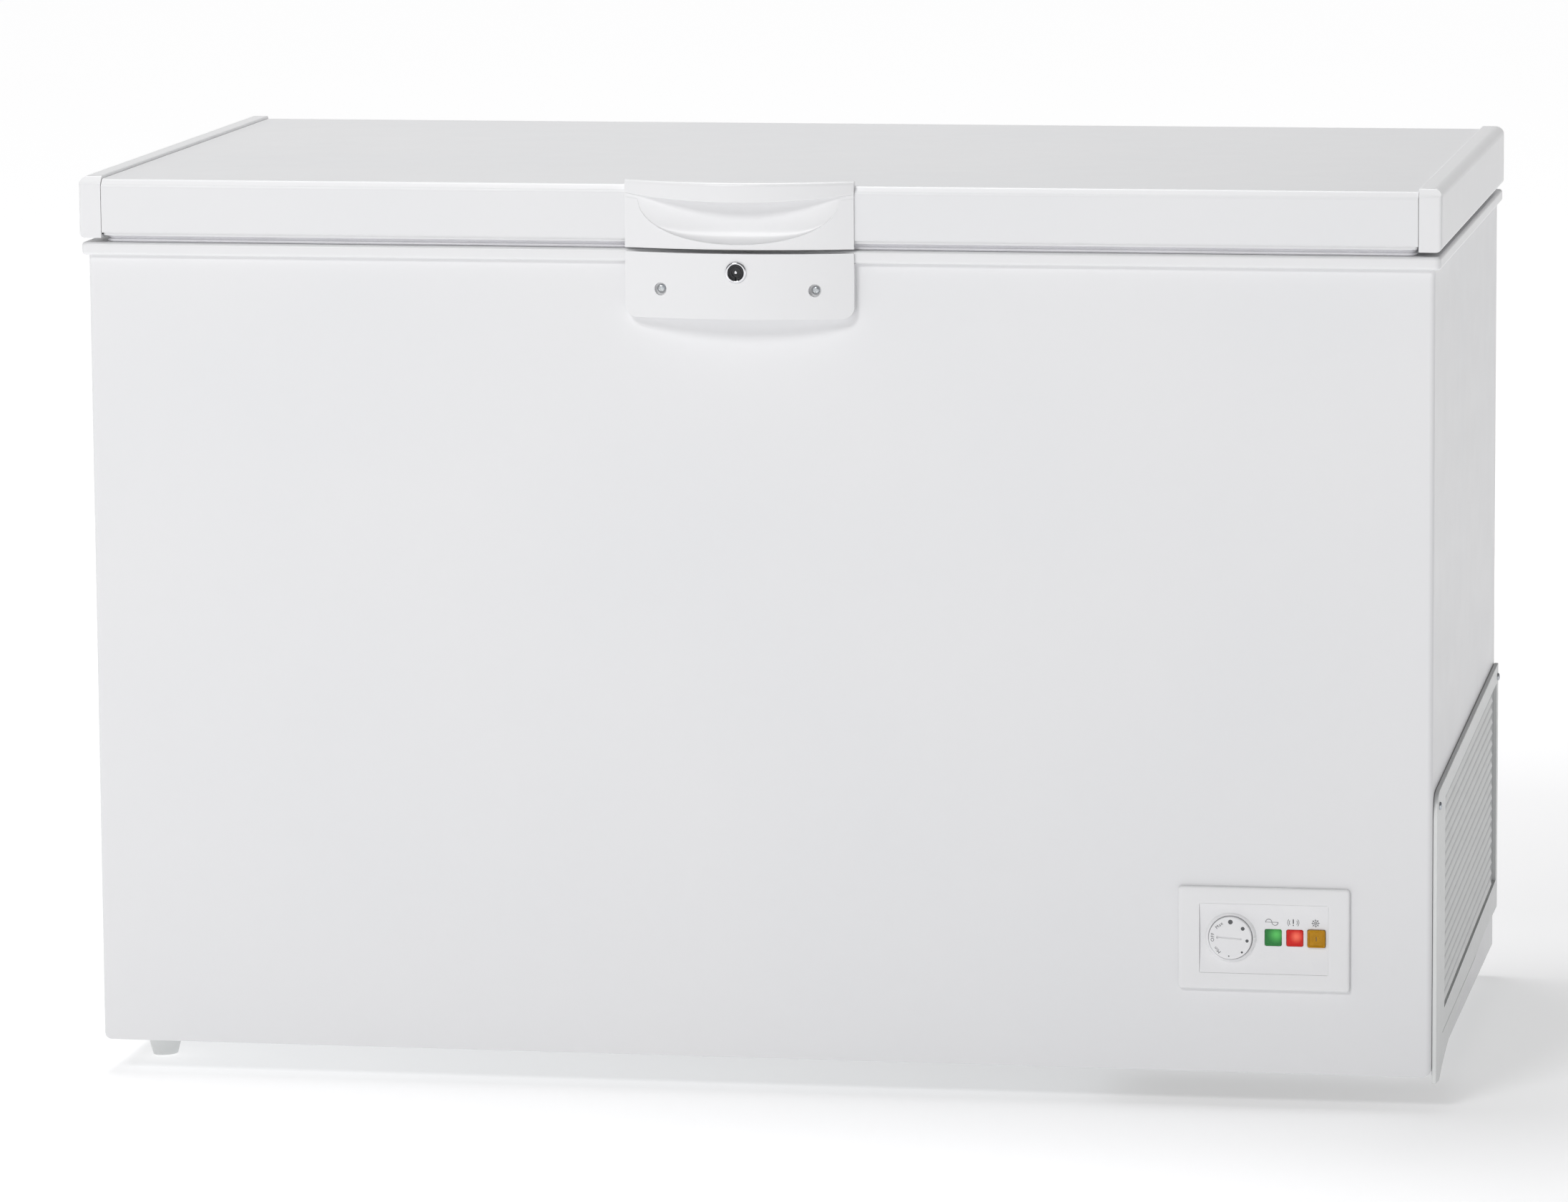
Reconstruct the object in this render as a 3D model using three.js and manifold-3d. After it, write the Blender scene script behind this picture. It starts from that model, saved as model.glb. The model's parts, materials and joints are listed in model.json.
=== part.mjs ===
// Chest freezer: foam-filled cabinet with a compressor bay at the right-hand end, a foam-filled lid on two
// balance hinges, a finger-pull handle, a lock, a control panel, a louvred side grille and a sliding basket.
// Millimetres. X runs to the right, Y to the back, Z up from the floor; the origin is under the middle.
import * as THREE from "three";
import { mergeVertices } from "three/addons/utils/BufferGeometryUtils.js";
import Module from "manifold-3d";

const wasm = await Module();
wasm.setup();

// ---------------------------------------------------------------- driving dimensions

const WIDTH = 1285; // over the lid's end caps
const LID_DEPTH = 670;
const HANDLE_REACH = 28; // handle in front of the lid
const HINGE_REACH = 27; // hinges behind the lid
const DEPTH = HANDLE_REACH + LID_DEPTH + HINGE_REACH;
const LID_FRONT = HANDLE_REACH - DEPTH / 2;
const LID_REAR = LID_FRONT + LID_DEPTH;

// levels above the floor
const BODY_BOTTOM = 31;
const RIM_BOTTOM = 785;
const RIM_TOP = 797;
const LID_BOTTOM = 803.5;
const LID_SHOULDER = 851;
const LID_TOP = 857;
const CAP_TOP = 860;
const HANDLE_TOP = 862;

const GAP = 0.3; // left between neighbouring pieces
const SHEET = 1; // painted sheet steel
const PANEL_SHEET = 1.2; // rear panel, floor and bulkhead
const PLASTIC = 2.5; // moulded covers
const WALL = 62; // cabinet wall, from outside sheet to inside liner

// cabinet
const BODY_HALF = WIDTH / 2 - 6.7;
const BODY_FRONT = LID_FRONT + 7;
const BODY_REAR = LID_REAR - 2;
const BODY_CORNER = 11;
const WRAP_TOP = RIM_TOP - 3.6;

// food space
const LINER_SHEET = 1.2;
const FOOD_HALF = BODY_HALF - WALL;
const FOOD_FRONT = BODY_FRONT + WALL;
const FOOD_REAR = BODY_REAR - WALL;
const FOOD_FLOOR = BODY_BOTTOM + WALL;
const FOOD_CORNER = 30;
const LEDGE_TOP = 750; // shelf that the basket hangs on
const LEDGE = 12;

// compressor bay, at the right-hand end under a step in the food space
const BAY_LEFT = 331.5;
const BAY_TOP = 303.5;
const STEP_LEFT = BAY_LEFT - WALL;
const STEP_TOP = BAY_TOP + WALL - 3;
const AIR_SLOTS = 9; // in the rear panel behind the bay

// refrigerant tube and the channel that it lies in, between a sheet and the foam
const COIL_RADIUS = 2.2;
const COIL_CHANNEL = 6.5;

// lid
const CAP_WIDTH = 21.3;
const SKIN_HALF = WIDTH / 2 - CAP_WIDTH - GAP - 0.2;
const SKIN_BOTTOM = LID_BOTTOM + 3;
const CHAMFER = LID_TOP - LID_SHOULDER;

// handle and lock, both bowed in plan, slightly left of the middle
const HANDLE_X = -10;
const HANDLE_HALF = 108;
const HANDLE_BOTTOM = 798.6;
const LOCK_Z = 778;
const COVER_TOP = 795;
const COVER_BOTTOM = 734;
const BOW = 18; // how far the middle of the lock cover stands in front of its ends
const END_PROUD = 2.2;

// control panel
const PANEL_X = 480;
const PANEL_Z = 158.5;
const PANEL_WIDTH = 160;
const PANEL_HEIGHT = 97;
const FASCIA_WIDTH = 121;
const FASCIA_HEIGHT = 66;
const KNOB_X = -31;
const KNOB_Z = 1;
const KNOB_RADIUS = 20.2;
const LAMP_Z = 1.5;
const LAMP_PITCH = 20.2;
const FIRST_LAMP_X = 8.6;
const LAMP_SIZE = 15.4;
const BUTTON_SIZE = 16.6;

// the screws of the lock cover, each side of the lock
const COVER_SCREW_REACH = 72.75;
const COVER_SCREW_Z = 761;

// The lock's cam points to the right while open. Turned up, it hooks over a steel plate in the handle's slot.
const CAM_REACH = 27.5; // from the lock's axis to the cam's tip
const CAM_HALF = 4;
const HOOK_REACH = 11; // sideways, from the same axis
const HOOK_INSIDE = 23.5;
const CAM_REAR = -6.2; // behind this plane, counted from the lid's front face
const CAM_THICKNESS = 2;
const KEEPER = 2; // thickness of the steel plate in the handle's slot that the hook holds on to

// side grille: its top edge and its louvres climb slightly towards the back
const GRILLE_FRONT = LID_FRONT + 12.5;
const GRILLE_REAR = BODY_REAR;
const GRILLE_INNER = BODY_HALF + GAP;
const GRILLE_OUTER = GRILLE_INNER + 4.3;
const GRILLE_CLIMB = 0.034;
const GRILLE_TOP = 296.5;
const GRILLE_TOE = 21;
const LOUVRES = 18;
const LOUVRE_PITCH = 10.9;

// refrigerant pipes through the bulkhead of the compressor bay, and the mains gland in the rear panel
const PIPE_Y = [60, 110, 160];
const PIPE_Z = 268;
const GLAND_X = 600;
const GLAND_Z = 120;

// hinges: the axis lies behind the lid, just under its lower edge
const HINGE_X = 420;
const AXIS_Y = 343;
const AXIS_Z = 800;
const CRANK_RADIUS = 14; // from the axis to the pin that works the pull rod
const CRANK_ANGLE = THREE.MathUtils.degToRad(37.5); // above level while the lid is shut

// ---------------------------------------------------------------- materials

function finish(color, roughness, metalness = 0, opacity = 1) {
  return new THREE.MeshStandardMaterial({
    color, roughness, metalness, opacity, transparent: opacity < 1, flatShading: true,
  });
}

const WHITE_PAINT = finish(0xe9e9ea, 0.38);
const WHITE_PLASTIC = finish(0xf1f1f2, 0.28);
const GREY_PLASTIC = finish(0xd2d4d4, 0.5);
const EMBOSSED_ALUMINIUM = finish(0xc9ccce, 0.42, 0.9);
const GALVANISED = finish(0xa6abae, 0.45, 0.85);
const ZINC = finish(0xb9c0c8, 0.3, 0.95);
const CHROME = finish(0xd9dadd, 0.12, 1);
const COPPER = finish(0xb9704a, 0.35, 0.95);
const BLACK_ENAMEL = finish(0x17181a, 0.45, 0.2);
const BLACK_PLASTIC = finish(0x1d1d20, 0.4);
const RUBBER = finish(0x2a2a2c, 0.85);
const SOFT_GREY = finish(0xdddedf, 0.7);
const FOAM = finish(0xe6d9a8, 0.95);
const GREEN_LENS = finish(0x2fa657, 0.2, 0, 0.9);
const RED_LENS = finish(0xe0302a, 0.2, 0, 0.9);
const AMBER_PLASTIC = finish(0xb8860b, 0.25, 0, 0.95);

// ---------------------------------------------------------------- building blocks

function solid(geometry) {
  const bare = geometry.clone();
  bare.deleteAttribute("normal");
  bare.deleteAttribute("uv");
  const merged = mergeVertices(bare, 1e-4);
  return new wasm.Manifold(new wasm.Mesh({
    numProp: 3,
    vertProperties: merged.attributes.position.array,
    triVerts: new Uint32Array(merged.index.array),
  }));
}

function join(solids) {
  return solids.reduce((all, next) => all.add(next));
}

function cut(body, tools) {
  return tools.reduce((left, tool) => left.subtract(tool), body);
}

function piece(parent, name, body, material) {
  const { vertProperties, triVerts } = body.getMesh();
  const geometry = new THREE.BufferGeometry();
  geometry.setAttribute("position", new THREE.BufferAttribute(vertProperties, 3));
  geometry.setIndex(new THREE.BufferAttribute(triVerts, 1));
  geometry.computeVertexNormals();
  const mesh = new THREE.Mesh(geometry, material);
  mesh.name = name;
  parent.add(mesh);
  return mesh;
}

function assembly(parent, x, y, z) {
  const group = new THREE.Group();
  group.position.set(x, y, z);
  parent.add(group);
  return group;
}

function box(x0, x1, y0, y1, z0, z1) {
  const geometry = new THREE.BoxGeometry(x1 - x0, y1 - y0, z1 - z0);
  geometry.translate((x0 + x1) / 2, (y0 + y1) / 2, (z0 + z1) / 2);
  return solid(geometry);
}

const extrude = (shape, depth, steps) =>
  new THREE.ExtrudeGeometry(shape, { depth, bevelEnabled: false, curveSegments: steps });

// an outline in X and Y, raised from z0 to z1
function prismZ(shape, z0, z1, steps = 4) {
  return solid(extrude(shape, z1 - z0, steps).translate(0, 0, z0));
}

// an outline in X and Z, drawn out from y0 to y1
function prismY(shape, y0, y1, steps = 4) {
  return solid(extrude(shape, y1 - y0, steps).rotateX(Math.PI / 2).translate(0, y1, 0));
}

// an outline in Y and Z, drawn out from x0 to x1
function prismX(shape, x0, x1, steps = 4) {
  const turn = new THREE.Matrix4().makeBasis(
    new THREE.Vector3(0, 1, 0), new THREE.Vector3(0, 0, 1), new THREE.Vector3(1, 0, 0));
  return solid(extrude(shape, x1 - x0, steps).applyMatrix4(turn).translate(x0, 0, 0));
}

function polygon(points) {
  return new THREE.Shape(points.map(([u, v]) => new THREE.Vector2(u, v)));
}

// a rectangle with its own radius at each corner: low left, low right, top right, top left
function rounded(u0, u1, v0, v1, radii) {
  const [a, b, c, d] = Array.isArray(radii) ? radii : [radii, radii, radii, radii];
  const shape = new THREE.Shape();
  shape.moveTo(u0 + a, v0);
  shape.lineTo(u1 - b, v0);
  if (b) shape.absarc(u1 - b, v0 + b, b, -Math.PI / 2, 0);
  shape.lineTo(u1, v1 - c);
  if (c) shape.absarc(u1 - c, v1 - c, c, 0, Math.PI / 2);
  shape.lineTo(u0 + d, v1);
  if (d) shape.absarc(u0 + d, v1 - d, d, Math.PI / 2, Math.PI);
  shape.lineTo(u0, v0 + a);
  if (a) shape.absarc(u0 + a, v0 + a, a, Math.PI, 1.5 * Math.PI);
  return shape;
}

// a profile of [radius, height] pairs turned about Z, about Y (height runs to the back) or about X
function turned(profile, axis = "z", sides = 20) {
  const points = profile.map(([radius, height]) => new THREE.Vector2(radius, height));
  if (THREE.ShapeUtils.isClockWise(points)) points.reverse();
  const geometry = new THREE.LatheGeometry(points, sides);
  if (axis === "z") geometry.rotateX(Math.PI / 2);
  if (axis === "x") geometry.rotateZ(-Math.PI / 2);
  return solid(geometry);
}

const rod = (radius, from, to, axis, sides) =>
  turned([[0, from], [radius, from], [radius, to], [0, to]], axis, sides);

// a route that bends at its own points, and has a ring of the tube at each of them
class Route extends THREE.Curve {
  constructor(points) {
    super();
    this.points = points;
  }

  getPoint(t) {
    const last = this.points.length - 1;
    const i = Math.min(Math.floor(t * last), last - 1);
    return this.points[i].clone().lerp(this.points[i + 1], t * last - i);
  }

  getPointAt(u) {
    return this.getPoint(u);
  }

  getTangentAt(u, target = new THREE.Vector3()) {
    const last = this.points.length - 1;
    const i = Math.round(u * last);
    const leg = (j) => this.points[j + 1].clone().sub(this.points[j]).normalize();
    const before = leg(Math.max(i - 1, 0));
    const after = leg(Math.min(i, last - 1));
    return target.copy(before).add(after).normalize();
  }
}

// straight legs between the given corners, with an arc of the given radius at each corner
function rounding(corners, radius, steps = 4) {
  const points = [corners[0]];
  for (let i = 1; i < corners.length - 1; i += 1) {
    const [before, after] = [i - 1, i + 1].map((j) => corners[j].clone().sub(corners[i]).normalize());
    const half = before.angleTo(after) / 2;
    const centre = before.clone().add(after).setLength(radius / Math.sin(half)).add(corners[i]);
    const spoke = before.clone().multiplyScalar(radius / Math.tan(half)).add(corners[i]).sub(centre);
    const axis = after.clone().cross(before).normalize();
    for (let k = 0; k <= steps; k += 1) {
      const swing = (k / steps) * (Math.PI - 2 * half);
      points.push(spoke.clone().applyAxisAngle(axis, swing).add(centre));
    }
  }
  points.push(corners[corners.length - 1]);
  return points;
}

function tube(points, radius, sides = 6) {
  const section = new THREE.Shape();
  for (let i = 0; i < sides; i += 1) {
    const angle = (2 * Math.PI * i) / sides;
    const place = [radius * Math.cos(angle), radius * Math.sin(angle)];
    if (i === 0) section.moveTo(...place);
    else section.lineTo(...place);
  }
  const settings = { steps: points.length - 1, extrudePath: new Route(points), bevelEnabled: false };
  return solid(new THREE.ExtrudeGeometry(section, settings));
}

const at = (x, y, z) => new THREE.Vector3(x, y, z);

// rings of equal length along X, each counter-clockwise in the plane of Y and Z, skinned and capped
function loft(rings) {
  const size = rings[0].length;
  const flat = rings.map((ring) => ring.map((p) => new THREE.Vector2(p.y, p.z)));
  const caps = [flat[0], flat[flat.length - 1]].map((ring) => THREE.ShapeUtils.triangulateShape(ring, []));
  const index = [];
  for (let i = 0; i < rings.length - 1; i += 1) {
    for (let j = 0; j < size; j += 1) {
      const [a, b] = [i * size + j, i * size + ((j + 1) % size)];
      index.push(a, b, b + size, a, b + size, a + size);
    }
  }
  const last = (rings.length - 1) * size;
  caps[0].forEach(([a, b, c]) => index.push(a, c, b));
  caps[1].forEach(([a, b, c]) => index.push(last + a, last + b, last + c));
  const geometry = new THREE.BufferGeometry().setFromPoints(rings.flat());
  geometry.setIndex(index);
  return solid(geometry);
}

// how far a bowed front has come forward at x: nothing at its ends, all of it in the middle
const bowAt = (x) => 1 - (x / HANDLE_HALF) ** 2;

// ---------------------------------------------------------------- cabinet

// the U of outside sheet, open at the back, as an outline moved inwards by "inset"
function wrapOutline(inset) {
  const half = BODY_HALF - inset;
  return rounded(-half, half, BODY_FRONT + inset, BODY_REAR + 50, [
    BODY_CORNER - inset, BODY_CORNER - inset, 0, 0]);
}

// the food space in plan, let out by "reach"
function foodOutline(reach) {
  return rounded(
    -FOOD_HALF - reach, FOOD_HALF + reach, FOOD_FRONT - reach, FOOD_REAR + reach, FOOD_CORNER + reach);
}

// the food space, let out by "grow" on every side but its open top, with the ledge and the step
function foodSpace(grow, top) {
  const space = prismZ(foodOutline(grow), FOOD_FLOOR - grow, top).add(
    prismZ(foodOutline(grow + LEDGE), LEDGE_TOP - grow, top));
  const step = box(STEP_LEFT + grow, WIDTH, -DEPTH, DEPTH, 0, STEP_TOP - grow);
  return space.subtract(step);
}

const pipeHoles = PIPE_Y.map((y) => rod(5.2, BAY_LEFT - 14, BAY_LEFT + 2, "x", 12).translate(0, y, PIPE_Z));

function cabinetShell(parent) {
  const below = BODY_BOTTOM;
  const rearward = box(-WIDTH, WIDTH, BODY_REAR, DEPTH, 0, 1000);
  const wrap = prismZ(wrapOutline(0), below, WRAP_TOP).subtract(
    prismZ(wrapOutline(SHEET), below - 1, WRAP_TOP + 1)).subtract(rearward);
  const panelHole = box(
    PANEL_X - FASCIA_WIDTH / 2, PANEL_X + FASCIA_WIDTH / 2, BODY_FRONT - 5, BODY_FRONT + 5,
    PANEL_Z - FASCIA_HEIGHT / 2, PANEL_Z + FASCIA_HEIGHT / 2);
  const grilleHole = box(BODY_HALF - 5, BODY_HALF + 5, -230, 300, 80, 272);
  const screwHoles = [-1, 1].map((side) =>
    rod(2.6, BODY_FRONT - 5, BODY_FRONT + 12, "y", 10).translate(
      HANDLE_X + side * COVER_SCREW_REACH, 0, COVER_SCREW_Z));
  const cornerRadius = 8;
  const lowerCorners = [-1, 1].map((side) => {
    const corner = side * BODY_HALF;
    const square = box(
      Math.min(corner, corner - side * cornerRadius), Math.max(corner, corner - side * cornerRadius),
      BODY_FRONT - 1, BODY_FRONT + 14, below, below + cornerRadius);
    const round = rod(cornerRadius, BODY_FRONT - 2, BODY_FRONT + 15, "y", 24).translate(
      corner - side * cornerRadius, 0, below + cornerRadius);
    return square.subtract(round);
  });
  const sheet = cut(wrap, [panelHole, grilleHole, ...screwHoles, ...lowerCorners]);
  piece(parent, "outer_wrap", sheet, WHITE_PAINT);

  const inside = BODY_HALF - SHEET - GAP;
  const slots = [];
  for (let i = 0; i < AIR_SLOTS; i += 1) {
    const z = 90 + i * 20;
    slots.push(box(BAY_LEFT + 53, BAY_LEFT + 233, BODY_REAR - 5, BODY_REAR + 5, z, z + 7));
  }
  const gland = rod(7.3, BODY_REAR - 5, BODY_REAR + 5, "y", 16).translate(GLAND_X, 0, GLAND_Z);
  const rear = box(-inside, inside, BODY_REAR - PANEL_SHEET, BODY_REAR, below, WRAP_TOP);
  piece(parent, "rear_panel", cut(rear, [...slots, gland]), WHITE_PAINT);

  const [floorUnder, floorOver] = [below + GAP, below + GAP + PANEL_SHEET];
  const [bulkhead, bayRoof] = [BAY_LEFT - PANEL_SHEET, BAY_TOP + PANEL_SHEET];
  const pan = polygon([
    [-inside, floorUnder], [BAY_LEFT, floorUnder], [BAY_LEFT, BAY_TOP], [inside, BAY_TOP],
    [inside, bayRoof], [bulkhead, bayRoof], [bulkhead, floorOver], [-inside, floorOver]]);
  const panBody = prismY(pan, BODY_FRONT + SHEET + GAP, BODY_REAR - PANEL_SHEET - GAP).intersect(
    prismZ(wrapOutline(SHEET + GAP), 0, 900));
  piece(parent, "bottom_panel", cut(panBody, pipeHoles), GALVANISED);

  const block = prismZ(wrapOutline(SHEET + COIL_CHANNEL), floorOver + GAP, WRAP_TOP).subtract(
    box(-WIDTH, WIDTH, BODY_REAR - PANEL_SHEET - GAP, DEPTH, 0, 1000));
  const bay = box(bulkhead - GAP, WIDTH, -DEPTH, DEPTH, 0, bayRoof + GAP);
  const foam = cut(block, [foodSpace(LINER_SHEET + COIL_CHANNEL, 900), bay, ...pipeHoles, ...screwHoles]);
  piece(parent, "insulation_foam", foam, FOAM);

  const liner = foodSpace(LINER_SHEET, WRAP_TOP).subtract(foodSpace(0, 900));
  piece(parent, "inner_liner", liner, EMBOSSED_ALUMINIUM);

  const rimHalf = WIDTH / 2 - 1;
  const [rimFront, rimRear] = [LID_FRONT + 1, LID_REAR - 1];
  const rimOuter = prismZ(
    rounded(-rimHalf, rimHalf, rimFront, rimRear, [14, 14, 4, 4]), RIM_BOTTOM, RIM_TOP, 5);
  const under = RIM_TOP - 3.2;
  const skirtRoom = prismZ(
    rounded(-BODY_HALF - GAP, BODY_HALF + GAP, BODY_FRONT - GAP, BODY_REAR + GAP, [11, 11, 0, 0]),
    RIM_BOTTOM - 1, under, 5);
  const lip = prismZ(foodOutline(LEDGE - GAP), RIM_BOTTOM, RIM_TOP - 1);
  const opening = prismZ(foodOutline(LEDGE - GAP - 2), 0, 1000);
  piece(parent, "top_frame", rimOuter.subtract(skirtRoom).add(lip).subtract(opening), WHITE_PLASTIC);
}

// ---------------------------------------------------------------- refrigeration

function coils(parent) {
  // evaporator: turns round the liner, above the step, falling by one pitch on each turn
  const grow = LINER_SHEET + COIL_CHANNEL / 2;
  const [half, front, rear] = [FOOD_HALF + grow, FOOD_FRONT - grow, FOOD_REAR + grow];
  const corners = [];
  const turns = 4;
  const pitch = 80;
  const start = 720;
  for (let i = 0; i < turns; i += 1) {
    const z = start - i * pitch;
    corners.push(at(-half, rear, z), at(-half, front, z - pitch / 4));
    corners.push(at(half, front, z - pitch / 2), at(half, rear, z - (3 * pitch) / 4));
  }
  for (const end of [corners[0], corners[corners.length - 1]]) end.y -= 60; // clear of the rear corners
  const evaporator = tube(rounding(corners, FOOD_CORNER + grow, 4), COIL_RADIUS);
  piece(parent, "evaporator_coil", evaporator, COPPER);

  // condenser: runs to and fro behind the outside sheet, from one rear corner round to the other
  const inset = SHEET + COIL_CHANNEL / 2;
  const [outHalf, outFront, outRear] = [BODY_HALF - inset, BODY_FRONT + inset, BODY_REAR - 40];
  const runs = [];
  for (let i = 0; i < 4; i += 1) {
    const z = 700 - 100 * i;
    const pass = [
      at(-outHalf, outRear, z), at(-outHalf, outFront, z), at(outHalf, outFront, z), at(outHalf, outRear, z)];
    runs.push(...(i % 2 ? pass.reverse() : pass));
  }
  piece(parent, "condenser_coil", tube(rounding(runs, BODY_CORNER - inset, 3), COIL_RADIUS), COPPER);
}

function compressorBay(parent) {
  const [left, right] = [BAY_LEFT + 2, BODY_HALF - SHEET - 2];
  const [front, rear] = [-190, BODY_REAR - 3];
  const [under, over] = [BODY_BOTTOM + 2, BODY_BOTTOM + 4];
  const tray = join([
    box(left, right, front, rear, under, over),
    box(left, left + 2, front, rear, under, over + 14),
    box(right - 2, right, front, rear, under, over + 14)]);
  piece(parent, "compressor_carrier", tray, GALVANISED);

  const unit = assembly(parent, 482, 130, over);
  const mountX = 88;
  const mountY = 70;
  const spool = [[4, GAP], [12, GAP], [12, 12], [7, 12], [7, 15.8], [10, 15.8], [10, 19], [4, 19], [4, GAP]];
  const holes = [];
  let number = 0;
  for (const x of [-mountX, mountX]) {
    for (const y of [-mountY, mountY]) {
      number += 1;
      piece(unit, `compressor_grommet_${number}`, turned(spool, "z", 10), RUBBER).position.set(x, y, 0);
      holes.push(rod(7.4, 0, 40, "z", 12).translate(x, y, 0));
    }
  }
  const plate = prismZ(rounded(-102, 102, -84, 84, 14), 12.3, 15.3);
  const shell = [
    [0, 13], [52, 13], [68, 20], [76, 38], [79, 70], [80, 104], [84, 104], [84, 110], [80, 110],
    [78, 140], [70, 168], [50, 186], [24, 193], [0, 194]];
  const dome = turned(shell, "z", 16).scale([1.16, 1, 1]);
  const stubs = join([
    rod(5.5, 160, 208, "z", 10).translate(-40, -20, 0),
    rod(5.5, 140, 206, "z", 10).translate(-40, 30, 0)]);
  piece(unit, "compressor", cut(plate.add(dome), holes).add(stubs), BLACK_ENAMEL);
  piece(unit, "relay_cover", box(99, 128, -32, 34, 60, 138), BLACK_PLASTIC);

  // copper pipes from the stubs to the bulkhead, and the dryer with the capillary that is brazed into it
  const [stubX, topZ] = [442, over + 208 + GAP];
  const wall = BAY_LEFT - 9;
  const suction = rounding([
    at(stubX, 110, topZ), at(stubX, 110, PIPE_Z + 2), at(stubX, PIPE_Y[0], PIPE_Z),
    at(wall, PIPE_Y[0], PIPE_Z)], 11);
  piece(parent, "suction_pipe", tube(suction, 4, 8), COPPER);
  const discharge = rounding([
    at(stubX, 160, topZ - 2), at(stubX, 160, PIPE_Z), at(wall, PIPE_Y[2], PIPE_Z)], 12);
  piece(parent, "discharge_pipe", tube(discharge, 3.2, 8), COPPER);
  const dryer = assembly(parent, 360, PIPE_Y[1], 190);
  const capsule = [[0, -58], [3, -58], [3, -48], [10, -40], [10, 34], [2.5, 44], [2.5, 50], [0, 50]];
  const winding = [at(0, 0, 49), at(0, 0, 58)];
  for (let i = 0; i <= 24; i += 1) {
    const angle = (i / 8) * 2 * Math.PI;
    winding.push(at(14 - 14 * Math.cos(angle), 14 * Math.sin(angle), 59 + i * 0.55));
  }
  winding.push(at(-6, 0, 77), at(-38, 0, PIPE_Z - 190));
  piece(dryer, "filter_dryer", turned(capsule, "z", 14).add(tube(winding, 1.2, 5)), COPPER);
}

// ---------------------------------------------------------------- side grille

// the lower edge sweeps up from a toe at the front
function grilleOutline() {
  const shape = new THREE.Shape();
  const climbTo = (y, z) => z + (y - GRILLE_FRONT) * GRILLE_CLIMB;
  shape.moveTo(GRILLE_FRONT + 30, GRILLE_TOE);
  shape.quadraticCurveTo(GRILLE_FRONT + 108, 50, GRILLE_FRONT + 498, 69);
  shape.lineTo(GRILLE_REAR, 69.5);
  shape.lineTo(GRILLE_REAR, climbTo(GRILLE_REAR, GRILLE_TOP));
  shape.lineTo(GRILLE_FRONT + 20, climbTo(GRILLE_FRONT + 20, GRILLE_TOP));
  shape.quadraticCurveTo(GRILLE_FRONT + 2, GRILLE_TOP - 2, GRILLE_FRONT, GRILLE_TOP - 22);
  shape.lineTo(GRILLE_FRONT, GRILLE_TOE + 3);
  return shape;
}

function sideGrille(parent) {
  const sheet = prismX(grilleOutline(), GRILLE_INNER, GRILLE_OUTER, 8);
  const climb = (y) => (y - GRILLE_FRONT) * GRILLE_CLIMB;
  // a band that runs from y0 to y1 and keeps to the climb of the louvres
  const band = (y0, y1, z0, z1) => polygon([
    [y0, z0 + climb(y0)], [y1, z0 + climb(y1)], [y1, z1 + climb(y1)], [y0, z1 + climb(y0)]]);
  const [y0, y1] = [GRILLE_FRONT + 78, GRILLE_REAR - 18];
  const lowest = 82;
  const field = prismX(
    band(y0, y1, lowest - 4, lowest + LOUVRES * LOUVRE_PITCH + 1), GRILLE_INNER + 1.9, GRILLE_OUTER + 1);
  let grille = sheet.subtract(field);
  const blades = [];
  const slots = [];
  for (let i = 0; i < LOUVRES; i += 1) {
    const z = lowest + i * LOUVRE_PITCH;
    const blade = polygon([
      [GRILLE_INNER + 1, z + 3.2], [GRILLE_OUTER - 0.2, z + 2], [GRILLE_OUTER - 0.2, z + 3.4],
      [GRILLE_INNER + 1, z + 10]]);
    const skew = new THREE.Matrix4().set(1, 0, 0, 0, 0, 1, 0, 0, 0, GRILLE_CLIMB, 1, 0, 0, 0, 0, 1);
    const length = y1 - 48 - y0;
    const prism = extrude(blade, length, 1).rotateX(Math.PI / 2).translate(0, y1 - 48, 0).applyMatrix4(skew);
    blades.push(solid(prism).translate(0, 0, climb(0)));
    slots.push(prismX(band(y0 + 6, y1 - 54, z - 0.8, z + 2.6), GRILLE_INNER - 1, GRILLE_OUTER + 1));
  }
  grille = cut(grille, slots).add(join(blades));
  const screws = [[GRILLE_FRONT + 20, 283], [GRILLE_REAR - 10, 306]];
  const screwHoles = screws.map(([y, z]) => rod(2.2, BODY_HALF - 1, WIDTH, "x", 10).translate(0, y, z));
  piece(parent, "side_grille", cut(grille, screwHoles), GREY_PLASTIC);
  screws.forEach(([y, z], i) => {
    const screw = piece(parent, `side_grille_screw_${i + 1}`, panScrew(4, 1.8, 1.7, 4.2), ZINC);
    screw.rotation.z = Math.PI / 2;
    screw.position.set(GRILLE_OUTER + GAP, y, z);
  });
}

// a cross-head screw that points to the back: the head in front of y = 0 and the shank behind it
function panScrew(headRadius, headHeight, shankRadius, length) {
  const profile = [
    [0, -headHeight], [headRadius * 0.55, -headHeight], [headRadius * 0.9, -headHeight * 0.6],
    [headRadius, 0], [shankRadius, 0], [shankRadius, length], [0, length]];
  const [arm, slit] = [headRadius * 0.5, headRadius * 0.13];
  const floor = -headHeight * 0.35;
  const cross = box(-arm, arm, -9, floor, -slit, slit).add(box(-slit, slit, -9, floor, -arm, arm));
  return turned(profile, "y", 14).subtract(cross);
}

// ---------------------------------------------------------------- control panel

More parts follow.
